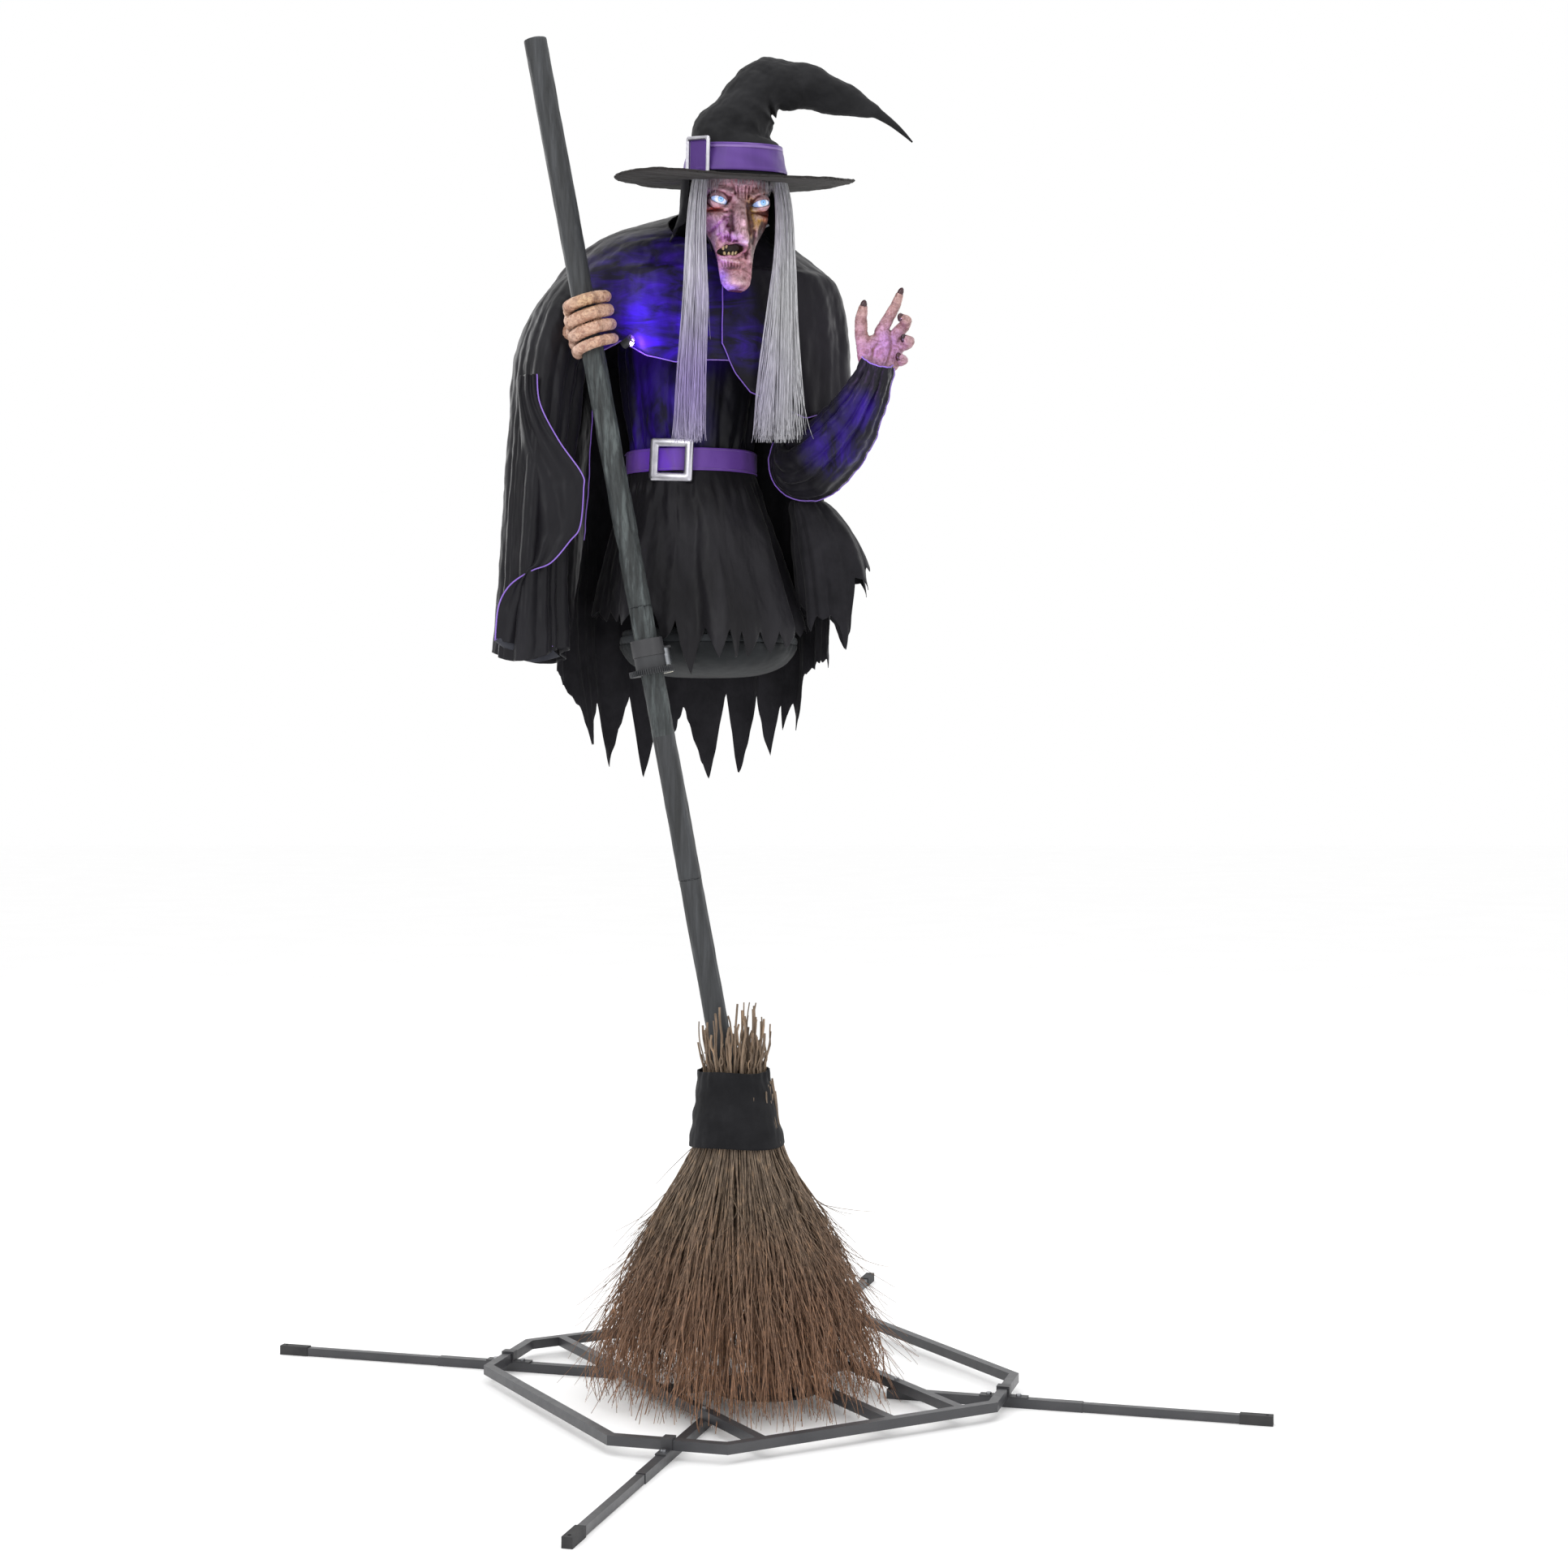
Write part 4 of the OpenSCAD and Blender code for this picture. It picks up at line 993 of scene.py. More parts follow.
def belt():
    sections = [level(-172, 348, 2514, 186, 150), level(-172, 350, 2577, 185, 149)]
    theta = closed_ring(220)

    def fold(th, v):
        edge = hump(v, 0.07, 0.035) + hump(v, 0.93, 0.035)
        return 1.4 * edge + 1.2 * np.sin(th * 7 + 3 * v) + 0.6 * np.sin(th * 17)

    points = garment(sections, theta, 1.0, np.zeros(220), 26, fold, 1.0, 3.0)
    obj = grid_mesh("belt_cloth", points, BELT_SATIN, wrap=True, thick=2.6)
    obj["wrapped"] = True
    finish_cloth(obj, points, "figure", ("belt",))
    stitches = []
    for row in (0.12, 0.88):
        ring, out = loft(sections, np.full(400, 1 - row), np.linspace(0, TAU, 400))
        stitches.append(ring + out * 2.6)
    thread = tubes("belt_stitching", stitches, [0.5, 0.5], BAND_EDGE, 5)
    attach(thread, "figure")


def frame_buckle(name, outer, inner, deep, mat, place):
    """A square buckle: a rounded frame with a crossbar, its edges eased."""
    n = 10
    loops = []
    for half, rise, corner in ((outer, 0.0, 9), (outer, 0.55, 9), ([o - 3 for o in outer], 1.0, 7),
                               ([i + 3 for i in inner], 1.0, 5), (inner, 0.55, 3), (inner, 0.0, 3)):
        loop = []
        for k, (sx, sz) in enumerate(((1, 1), (-1, 1), (-1, -1), (1, -1))):
            for a in np.linspace(0, math.pi / 2, n):
                b = a + k * math.pi / 2
                loop.append((sx * (half[0] - corner) + corner * math.cos(b), -deep * rise,
                             sz * (half[1] - corner) + corner * math.sin(b)))
        loops.append(loop)
    points = place(np.array(loops))
    closed = np.concatenate([points, points[:1]])
    obj = grid_mesh(name, closed[::-1], mat, wrap=True)
    merge(obj)
    return obj


def merge(obj):
    mod = obj.modifiers.new("weld", "WELD")
    mod.merge_threshold = 0.02 * MM
    apply_modifiers(obj)


def turned(p, degrees_z, centre, degrees_y=0.0):
    a = deg(degrees_z)
    b = deg(degrees_y)
    x = p[..., 0] * math.cos(b) + p[..., 2] * math.sin(b)
    z = -p[..., 0] * math.sin(b) + p[..., 2] * math.cos(b)
    y = p[..., 1]
    return np.stack([x * math.cos(a) - y * math.sin(a), x * math.sin(a) + y * math.cos(a), z], -1) + centre


def buckles():
    lo, hi = node_box("belt_buckle")
    centre = (lo + hi) / 2

    def at_belt(p):
        return turned(p, -14, centre + [0, 4, 0], 3)

    buckle = frame_buckle("belt_buckle_frame", (63, 60), (38, 36), 8, SILVER, at_belt)
    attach(buckle, "figure")
    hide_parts("belt_buckle")


def skirt():
    """The front skirt: deep hanging folds and a torn hem over the seat."""
    sections = [level(-150, 330, 1880, 268, 262), level(-150, 335, 1990, 292, 276),
                level(-150, 340, 2085, 292, 276),
                level(-158, 345, 2200, 268, 246), level(-165, 345, 2350, 228, 200),
                level(-172, 348, 2520, 180, 144)]
    cols = 420
    theta = closed_ring(cols)
    x = -150 + 290 * np.cos(theta)
    front = np.clip(-np.sin(theta), 0, 1)
    short = np.interp(x, [-440, -330, -250, -190, -120, -20, 60, 140],
                      [2130, 2115, 2120, 2085, 2075, 2070, 2060, 2090])
    u = theta / TAU
    torn = ragged(u, 31, 34)
    reach = np.interp(x, [-440, -260, -190, -140, 0, 90, 140], [60, 60, 190, 120, 100, 120, 90])
    hem = short - torn * reach * (0.35 + 0.65 * front)

    def fold(th, v):
        grow = 0.02 + 0.98 * v**0.9
        swag = 12 * np.sin(2.2 * (th + 1.7) - 7 * v) * hump(v, 0.30, 0.22) * np.clip(-np.sin(th), 0, 1)
        gather = 3 * np.sin(th * 33) * hump(v, 0.13, 0.04)
        return pleats(th, v, 23, (5, 9, 15, 24), (19, 13, 7, 2.5), 1.0) * grow + swag + gather

    points = garment(sections, theta, 5.0, at_height(sections, hem), 112, fold, 3.0, 13.0)
    obj = grid_mesh("skirt_cloth", points, SKIRT_SATIN, wrap=True, thick=1.6)
    obj["wrapped"] = True
    finish_cloth(obj, points, "figure", ("skirt",))


def robe():
    """The long robe behind, from under the cape to its torn tail."""
    sections = [level(-158, 322, 1650, 322, 232), level(-162, 322, 1880, 358, 236),
                level(-165, 322, 2120, 372, 238),
                level(-165, 330, 2300, 362, 232), level(-160, 345, 2600, 355, 225),
                level(-155, 355, 2850, 350, 215)]
    cols = 410
    theta = np.radians(np.linspace(-16, 218, cols))
    x = -160 + 350 * np.cos(theta)
    at = [-520, -505, -477, -440, -418, -350, -328, -270, -235, -200, -127, -80, -41, 20, 58, 70, 82, 100,
          120, 150, 200]
    down = [2050, 1930, 1765, 1876, 1706, 1905, 1661, 1850, 1790, 1870, 1656, 1905, 1675, 1900, 1737,
            1880, 1808,
            1885, 1803, 1960, 2000]
    hem = np.interp(x, at, down)
    side = np.degrees(theta)
    hem = np.where(side > 180, np.interp(side, [180, 190, 200, 210, 218], [1930, 1980, 2060, 2180, 2320]),
                   hem)
    hem = np.where(side < 0, np.interp(side, [-16, -8, 0], [2240, 2060, 1960]), hem)
    hem = hem - 14 * ragged((theta - theta[0]) / (theta[-1] - theta[0]), 77, 60)

    def fold(th, v):
        grow = 0.2 + 0.8 * v
        return pleats(th, v, 41, (8, 14, 22, 35), (15, 10, 6, 2.5), 0.5) * grow

    points = garment(sections, theta, 5.0, at_height(sections, hem), 118, fold, 4.0, 17.0)
    obj = grid_mesh("robe_cloth", points, RAG_CLOTH, thick=1.6)
    trim = piping("robe_piping", points[32:, -1], PIPING, 1.6)
    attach(trim, "figure")
    finish_cloth(obj, points, "figure", ("back_skirt",))


def hip():
    sections = [level(246, 296, 1990, 100, 104), level(244, 298, 2064, 96, 106),
                level(234, 300, 2200, 99, 110),
                level(206, 303, 2330, 84, 104), level(165, 308, 2425, 52, 84), level(150, 312, 2446, 20, 40)]
    cols = 240
    theta = closed_ring(cols)
    x = 244 + 98 * np.cos(theta)
    base = np.interp(x, [146, 173, 190, 240, 266, 285, 300, 325, 342],
                     [2150, 2078, 2120, 2112, 2035, 2110, 2230, 2195, 2260])
    hem = base - 26 * ragged(theta / TAU, 51, 17)

    def fold(th, v):
        return pleats(th, v, 61, (4, 8, 14), (11, 7, 3), 0.9) * (0.15 + 0.85 * v)

    points = garment(sections, theta, 5.0, at_height(sections, hem), 100, fold, 4.0, 23.0)
    obj = grid_mesh("knee_cloth", points, RAG_CLOTH, wrap=True, thick=1.6)
    obj["wrapped"] = True
    finish_cloth(obj, points, "figure", ("hip_drape",))


def right_sleeve():
    """The long bell sleeve over the gripping arm, with a piped mouth that curls to the front."""
    sections = [level(-606, 130, 1975, 92, 92), level(-600, 130, 2200, 78, 94),
                level(-586, 140, 2450, 76, 104),
                level(-570, 160, 2650, 82, 116), level(-556, 190, 2800, 92, 132),
                level(-520, 235, 2940, 92, 140),
                level(-470, 290, 3040, 84, 130), level(-425, 330, 3095, 60, 96)]
    cols = 230
    theta = closed_ring(cols)
    hem = 2000 + 26 * np.cos(theta * 2 + 0.6)

    def fold(th, v):
        grow = 0.15 + 0.85 * np.clip(v * 1.4, 0, 1)
        return pleats(th, v, 83, (5, 9, 15), (13, 8, 3.5), 0.6) * grow

    points = garment(sections, theta, 7.0, at_height(sections, hem), 150, fold, 4.5, 29.0)
    obj = grid_mesh("right_sleeve_cloth", points, BLACK_SATIN, wrap=True, thick=1.8)
    obj["wrapped"] = True
    finish_cloth(obj, points, "figure", ("sleeve_right",))

    z = np.array([2753, 2671, 2572, 2483, 2439, 2340, 2300, 2242, 2220, 2182, 2125, 2032], float)
    right = np.array([-577, -568, -517, -455, -450, -460, -488, -539, -592, -650, -683, -694], float)
    deep = np.array([24, 22, 18, 16, 16, 20, 22, 22, 22, 26, 34, 44], float)
    rim = spline(np.stack([right, deep, z], -1), 150)
    left = np.interp(rim[:, 2], [2000, 2227, 2375, 2561, 2709, 2821], [-640, -622, -618, -622, -630, -616])
    turn_in = step_up(rim[:, 2], 2240, 2140)
    start = np.stack([left + turn_in * 66, np.full(150, 48.0) + 26 * turn_in, rim[:, 2] - 20 * turn_in], -1)
    w = np.linspace(0, 1, 50)[None, :, None]
    flap = start[:, None] * (1 - w) + rim[:, None] * w
    swell = np.sin(math.pi * w[..., 0]) * 16
    crease = 6 * np.sin(w[..., 0] * 15 + rim[:, None, 2] / 60) + 5 * fbm(flap, 1 / 60, 3, 4.0, (1, 1, 0.4))
    flap[..., 1] -= swell + crease * (1 - w[..., 0] ** 4)
    front = grid_mesh("sleeve_mouth_cloth", flap, BLACK_SATIN, thick=1.8)
    hem_line = spline([rim[-1], (-659, 60, 2050), (-628, 66, 2043), (-584, 70, 2025), (-540, 74, 2017)], 60)
    edge = np.concatenate([rim, hem_line[1:]])
    trim = piping("sleeve_piping", edge - [0, 2.5, 0], PIPING, 2.0)
    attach(trim, "figure")
    finish_cloth(front, flap, "figure")

    low = spline([(-694, 44, 2034), (-655, 50, 2040), (-600, 60, 2020), (-545, 80, 2012)], 60)
    drop = spline([(-690, 60, 2026), (-640, 64, 1990), (-585, 70, 1974), (-522, 92, 1990)], 60)
    w = np.linspace(0, 1, 22)[None, :, None]
    cuff = low[:, None] * (1 - w) + drop[:, None] * w
    cuff[..., 1] -= 9 * np.sin(w[..., 0] * math.pi) + 5 * np.sin(low[:, None, 0] / 11 + w[..., 0] * 3)
    lining = grid_mesh("sleeve_lining_cloth", cuff, LINING, thick=1.8)
    finish_cloth(lining, cuff, "figure")


def left_sleeve():
    """The bell sleeve of the raised arm: open from the wrist to its piped hem, bent at the elbow."""
    path = np.array([(346, -30, 2782), (332, -6, 2738), (312, 26, 2694), (277, 70, 2636), (228, 116, 2578),
                     (172, 170, 2532), (156, 234, 2546), (184, 312, 2632), (176, 350, 2745),
                     (160, 354, 2850)], float)
    wide = np.array([40, 43, 50, 64, 78, 90, 92, 88, 84, 74], float)
    deep = np.array([44, 50, 66, 86, 96, 98, 96, 90, 84, 76], float)
    rows = 170
    cols = 170
    line = spline(path, rows)
    wide = np.interp(np.linspace(0, 1, rows), np.linspace(0, 1, len(wide)), wide)
    deep = np.interp(np.linspace(0, 1, rows), np.linspace(0, 1, len(deep)), deep)
    tangent = np.gradient(line, axis=0)
    tangent /= np.linalg.norm(tangent, axis=1)[:, None]
    lean = np.cross(tangent, [0.0, 1.0, 0.0])
    lean /= np.linalg.norm(lean, axis=1)[:, None]
    back = np.cross(lean, tangent)
    a = closed_ring(cols)[None, :]
    v = np.linspace(0, 1, rows)[:, None]
    belly = 1 + 0.06 * np.clip(np.cos(a), 0, 1) ** 2 * hump(v, 0.42, 0.22)
    push = pleats(a, v, 91, (5, 9, 15), (10, 7, 4), 0.9) * np.clip(v * 6, 0.2, 1) * 0.8
    probe = (line[:, None] + lean[:, None] * 80 * np.cos(a)[..., None]
             + back[:, None] * 80 * np.sin(a)[..., None])
    push = push + 6 * fbm(probe, 1 / 60, 3, 8.0)
    side = 1.0 if lean[rows // 3][2] < 0 else -1.0
    points = (line[:, None] + lean[:, None] * (side * (wide[:, None] * belly + push) * np.cos(a))[..., None]
              + back[:, None] * ((deep[:, None] + push) * np.sin(a))[..., None])
    obj = grid_mesh("left_sleeve_cloth", points, BELL_SATIN, wrap=True, thick=1.8)
    obj["wrapped"] = True
    edge = points[4:118, 0] + lean[4:118] * side * 3
    trim = tubes("left_sleeve_piping", [edge, np.concatenate([points[0], points[:1, 0]])], [1.8, 1.8],
                 PIPING, 8)
    declare(obj, points)
    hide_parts("sleeve_left", "left_cuff")
    for cloth in (obj, trim):
        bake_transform(cloth)


def seat():
    """The closed padded seat: a lathe form with gathers at its rim band."""
    lo, hi = node_box("seat_pan")
    cx, cy = (lo[0] + hi[0]) / 2, (lo[1] + hi[1]) / 2
    profile = [(2, 1939), (70, 1940), (120, 1943), (160, 1950), (192, 1961), (220, 1977), (240, 1998),
               (249, 2018),
               (251, 2029), (248, 2031), (251, 2034), (252.5, 2042), (251, 2051), (247, 2054), (247, 2062),
               (243, 2069), (232, 2072), (200, 2073), (120, 2074), (2, 2074)]
    line = spline([(r, 0, z) for r, z in profile], 110)
    cols = 200
    a = closed_ring(cols)[None, :]
    r = line[:, :1]
    z = line[:, 2:]
    push = 2.6 * fbm(around(r, a, z), 1 / 50, 3, 15.0)
    gather = 1.6 * np.sin(a * 48 + 2 * np.sin(a * 5)) * np.exp(-((z - 2026) / 14) ** 2)
    push = (push + gather - 1.5) * step_up(r, 60, 180)
    pad = np.stack([cx + (r + push) * np.cos(a), cy + (r + push) * np.sin(a), z + 0 * a], -1)
    obj = grid_mesh("seat_cushion", pad[::-1], PAN_CLOTH, wrap=True, caps=(True, True))
    obj.data.materials.append(PAN_RIM)
    z_face = (z[::-1][1:] + z[::-1][:-1])[:, 0] / 2
    r_face = (r[::-1][1:] + r[::-1][:-1])[:, 0] / 2
    band = ((z_face > 2031) & (z_face < 2054) & (r_face > 235)).astype(np.int32)
    index = np.zeros(len(obj.data.polygons), dtype=np.int32)
    index[:len(band) * cols] = np.repeat(band, cols)
    obj.data.polygons.foreach_set("material_index", index)
    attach(obj, "figure")
    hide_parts("seat_pan")


# ---------- hat and hood ----------

HAT = [tilted((0, 0, 1), (0, 0, 1), 139, 139), tilted((0, 0, 95), (0, 0, 1), 123, 126),
       tilted((-8, 2, 138), (0.18, 0, 1), 104, 110), tilted((30, 6, 192), (0.48, 0, 0.88), 86, 96),
       tilted((64, 10, 238), (0.86, 0, 0.5), 82, 86), tilted((98, 14, 258), (0.97, 0, 0.2), 78, 78),
       tilted((146, 12, 264), (1, 0, -0.06), 66, 68), tilted((204, 10, 256), (1, 0, -0.2), 58, 58),
       tilted((298, 6, 226), (1, 0, -0.36), 45, 44), tilted((360, 2, 204), (1, 0, -0.42), 25, 26),
       tilted((392, 0, 190), (1, 0, -0.6), 14, 15), tilted((440, -2, 157), (1, 0, -0.75), 8, 9),
       tilted((484, -4, 118), (1, 0, -0.85), 2.2, 2.2)]
HAT_LEVEL = -2.6


def on_hat(p):
    """Hat millimetres to the world: the hat sits nearly level on the tilted head."""
    p = np.asarray(p, float)
    c = math.cos(math.radians(HAT_LEVEL))
    s = math.sin(math.radians(HAT_LEVEL))
    return on_head(np.stack([p[..., 0] * c + p[..., 2] * s, p[..., 1], p[..., 2] * c - p[..., 0] * s], -1))


def hat():
    cols = 240
    theta = closed_ring(cols)
    rows = 300
    v = np.linspace(0, 1, rows)[:, None]
    t = 12 * v**0.95 + 0 * theta
    th = np.broadcast_to(theta, (rows, cols))
    points, out = loft(HAT, t, th, False)
    size = np.interp(t, np.arange(13), [s[6] for s in HAT]) / 139
    under = hump(np.cos(th), 1.0, 0.55)
    crease = -20 * under * (hump(t, 4.1, 0.42) + 0.55 * hump(t, 5.2, 0.30) + 0.4 * hump(t, 3.1, 0.30))
    swell = 7 * under * (hump(t, 3.6, 0.25) + hump(t, 4.7, 0.28))
    top = hump(np.cos(th), -1.0, 0.5)
    dent = -9 * top * hump(t, 5.6, 0.5) + 5 * top * hump(t, 4.8, 0.35) - 7 * top * hump(t, 8.2, 0.5)
    spiral = 4.5 * np.sin(t * 4.2 + 2.4 * np.sin(th + 0.5)) * step_up(t, 1.6, 2.8) * (1 - step_up(t, 9, 11))
    side = -10 * hump(np.sin(th), -1.0, 0.35) * (hump(t, 3.7, 0.3) + 0.8 * hump(t, 6.4, 0.4))
    loose = 8 * fbm(points, 1 / 64, 3, 2.0) * step_up(t, 0.9, 2.2)
    push = crease + swell + dent + spiral + side + loose
    points = points + out * (push * size**0.7)[..., None]
    crown = grid_mesh("hat_crown", on_hat(points), FELT, wrap=True, caps=(False, True))

    rows = 46
    cols = 260
    a = closed_ring(cols)[None, :]
    r = np.concatenate([np.linspace(127, 322, rows - 3), [326.5, 328, 327]])[:, None]
    wave = 5.5 * np.sin(2 * a + 0.7) + 3.6 * np.sin(3 * a + 2.1) + 2 * np.sin(5 * a)
    z = 3 + 0 * a + wave * ((r - 127) / 201) ** 1.5 + 2.2 * np.clip((r - 300) / 28, 0, 1) ** 2
    flat = around(r, a, z)
    flat[..., 2] += 2.2 * fbm(flat, 1 / 60, 3, 6.0)
    brim = grid_mesh("hat_brim", on_hat(flat), BRIM_FELT, wrap=True, thick=6.0)
    brim["wrapped"] = True
    declare(brim, flat)
    hem = around(319, a[0], z[-8] + 3.5)
    stitch = tubes("brim_stitch", [on_hat(np.concatenate([hem, hem[:1]]))], [0.7], BRIM_FELT, 5)

    a = closed_ring(240)
    zs = np.concatenate([[23.5, 25.5], np.linspace(27, 95, 24), [96.5]])[:, None]
    r = 141.5 - (zs - 27) / 68 * 14 + 1.4 * hump(zs, 93, 3) + 1.2 * hump(zs, 29, 3)
    r = r + 0.8 * np.sin(a * 9 + zs / 16) + 1.2 * np.sin(a * 5 + zs / 9) * hump(zs, 60, 26)
    points = around(r, a, zs)
    band = grid_mesh("hat_band_cloth", on_hat(points), HAT_BAND_SATIN, wrap=True, thick=2.2)
    band["wrapped"] = True
    declare(band, points)
    zs = np.linspace(84, 95, 8)[:, None]
    r = 143.0 - (zs - 27) / 68 * 14 + 0.8 * np.sin(a * 9 + zs / 16)
    points = around(r, a, zs)
    stripe = grid_mesh("hat_band_stripe", on_hat(points), BAND_EDGE, wrap=True, thick=1.0)
    stripe["wrapped"] = True
    declare(stripe, points)

    turn = -42
    away = np.array([math.cos(deg(-90 + turn)), math.sin(deg(-90 + turn)), 0.0])

    def at_band(p):
        return on_hat(turned(p, turn, away * 143 + np.array([0, 0, 60.0])))

    buckle = frame_buckle("hat_buckle_frame", (44, 52), (33, 41), 7, SILVER, at_band)
    plate = np.array([[(x, 1.5, z) for x in np.linspace(-35, 35, 12)] for z in np.linspace(-43, 43, 12)])
    inner = grid_mesh("hat_buckle_cloth", at_band(plate), HAT_BAND_SATIN, thick=1.5)
    declare(inner, plate)
    for obj in (crown, brim, stitch, band, stripe, buckle, inner):
        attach(obj, "head")
    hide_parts("hat")
    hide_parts("hat_band")


def hood():
    """The cloth hood under the hat: open in front, falling over the collar behind."""
    cols = 260
    theta = np.radians(np.linspace(-16, 212, cols))
    rows = 80
    v = np.linspace(0, 1, rows)[:, None]
    side = np.degrees(theta)
    low = np.interp(side, [-31, -24, -12, 20, 60, 90, 150, 180, 198, 212],
                    [-60, -84, -120, -165, -195, -205, -190, -168, -148, -122])
    z = -2 + (low + 2) * v
    flutter = (6 * np.sin(9 * theta + 1) + 4 * np.sin(16 * theta + 2 * v)) * v**1.4 * 0.7
    r = 146 + 26 * step_up(-z, 80, 200) + flutter
    r = r - 5 * hump(side, -16, 12) - 5 * hump(side, 212, 7)
    points = around(r, theta, z)
    points = points + 3.0 * (fbm(points, 1 / 50, 3, 12.0) * v)[..., None] * np.array([0.7, 0.7, 0])
    obj = grid_mesh("hood_cloth_piece", on_head(points), HOOD_CLOTH, thick=2.0)
    finish_cloth(obj, points, "head", ("hood",))


# ---------- face ----------

EYES = ((-55.0, -54.0), (62.0, -54.0))


def paint(obj, colors):
    layer = obj.data.color_attributes.new("tint", "FLOAT_COLOR", "POINT")
    rgba = np.ones((len(colors), 4), dtype=np.float32)
    rgba[:, :3] = np.clip(colors, 0, 1)
    layer.data.foreach_set("color", rgba.ravel())


def blot(color, x, z, at, size, tone, strength=1.0):
    w = strength * np.exp(-((x - at[0]) / size[0]) ** 2 - ((z - at[1]) / size[1]) ** 2)
    return color * (1 - w[..., None]) + np.array(tone) * w[..., None]


def ridge(x, z, a, b, width):
    """1 on the line from a to b, falling off to its sides."""
    d = np.array(b, float) - np.array(a, float)
    t = np.clip(((x - a[0]) * d[0] + (z - a[1]) * d[1]) / (d @ d), 0, 1)
    gap = np.hypot(x - a[0] - t * d[0], z - a[1] - t * d[1])
    return np.exp(-((gap / width) ** 2))


def bump_at(x, z, at, size):
    return np.exp(-((x - at[0]) / size[0]) ** 2 - ((z - at[1]) / size[1]) ** 2)


def mouth_gap(x, z):
    """Under 1 inside the open mouth: a crooked grin that rises to the left."""
    c = math.cos(deg(-19))
    s = math.sin(deg(-19))
    dx = x + 19
    dz = z + 180
    u = dx * c - dz * s
    w = dx * s + dz * c
    w = w + 0.004 * u * u + 1.3 * np.sin(u / 4.5)
    up = 9.5 - 0.05 * u
    down = 20 + 0.22 * u
    return (u / 36) ** 2 + (w / np.where(w > 0, up, np.maximum(down, 9))) ** 2


def soften(field, cells):
    """A box blur over both directions of a grid, twice."""
    for _ in range(2):
        for axis in (0, 1):
            pad = [(cells, cells) if k == axis else (0, 0) for k in (0, 1)]
            wide = np.cumsum(np.pad(field, pad, mode="edge"), axis=axis)
            wide = np.concatenate([np.zeros_like(np.take(wide, [0], axis)), wide], axis=axis)
            n = field.shape[axis]
            late = np.take(wide, np.arange(n) + 2 * cells, axis)
            early = np.take(wide, np.arange(n), axis)
            field = (late - early) / (2 * cells)
    return field


def features(x, z):
    """How far the face stands out in front of a smooth egg, in millimetres.

    A mark is (height, centre, half-widths) for a bump, or (height, from, to, width) for a ridge or groove.
    """
    nose_x = np.interp(z, [-178, -160, -130, -90, -40], [20, 15, 7, 3, 4])
    nose_w = np.interp(z, [-178, -165, -145, -120, -95, -60, -40], [11, 15, 19, 19, 17, 14, 15])
    nose_h = np.interp(z, [-192, -184, -174, -160, -138, -115, -92, -66, -48, -30],
                       [0, 26, 54, 64, 60, 54, 42, 28, 15, 4])
    f = nose_h * np.exp(-np.abs((x - nose_x) / nose_w) ** 2.8)
    marks = [(18, (-10, -150), (12, 12)), (14, (36, -150), (9, 12)), (7, (7, -104), (9, 13)),
             (5, (4, -133), (5, 5)), (-7, (-24, -140), (-20, -160), 4), (-8, (48, -132), (46, -160), 5),
             (17, (-90, -20), (-24, -36), 12), (17, (100, -20), (34, -40), 12),
             (9, (-24, -36), (-12, -50), 8), (9, (34, -40), (24, -54), 8),
             (-8, (-16, -34), (-32, -60), 5), (-8, (26, -40), (38, -62), 5),
             (10, (-88, -98), (-40, -94), 10), (12, (94, -98), (50, -94), 12),
             (-5, (-90, -88), (-44, -80), 3.5), (-5, (94, -88), (52, -82), 3.5),
             (24, (-52, -112), (-40, -136), 17), (13, (-36, -138), (0, -158), 10),
             (10, (56, -112), (52, -136), 12), (-20, (-76, -158), (18, 40)), (-20, (78, -155), (20, 40)),
             (-7, (-38, -98), (-72, -150), 6), (-4, (-28, -120), (-52, -150), 4),
             (8, (-58, -158), (-50, -206), 6), (-6, (-66, -152), (-62, -206), 4),
             (8, (38, -168), (40, -212), 7), (-6, (28, -168), (30, -204), 4), (19, (-4, -272), (32, 20)),
             (-8, (-6, -234), (28, 8)), (6, (14, -270), (12, 12)), (4, (-24, -268), (12, 12)),
             (7, (-38, -212), (12, -218), 6)]
    for height, at, *shape in marks:
        f = f + height * (bump_at(x, z, at, *shape) if len(shape) == 1 else ridge(x, z, at, *shape))
    for ex, ez in EYES:
        f = f - 13 * bump_at(x, z, (ex, ez + 4), (29, 17))
        f = f + 7 * ridge(x, z, (ex - 22, ez - 20), (ex + 20, ez - 21), 6)
        f = f - 4 * ridge(x, z, (ex - 26, ez - 29), (ex + 22, ez - 31), 3)
        away = np.sign(ex) * 30
        for k in range(-2, 3):
            f = f - 2.4 * ridge(x, z, (ex + away * 0.85, ez + k * 5), (ex + away * 1.5, ez + k * 11), 1.8)
    for k, at in enumerate((-14, -5, 4, 13, 22, 31)):
        deep = (2.2, 3.4, 2.6, 4.0, 3.2, 2.2)[k]
        f = f - deep * ridge(x, z, (at * 1.2 - 2, -14), (at, -48), 2.0)
    for k in range(7):
        at = -40 + 9 * k
        f = f - 1.8 * ridge(x, z, (at, -214), (at * 0.9 + 2, -230), 1.6)
    for k in range(6):
        f = f - 1.6 * ridge(x, z, (-46 + 8 * k, -142 - 2.4 * k), (-42 + 8 * k, -154 - 3 * k), 1.6)
    return f


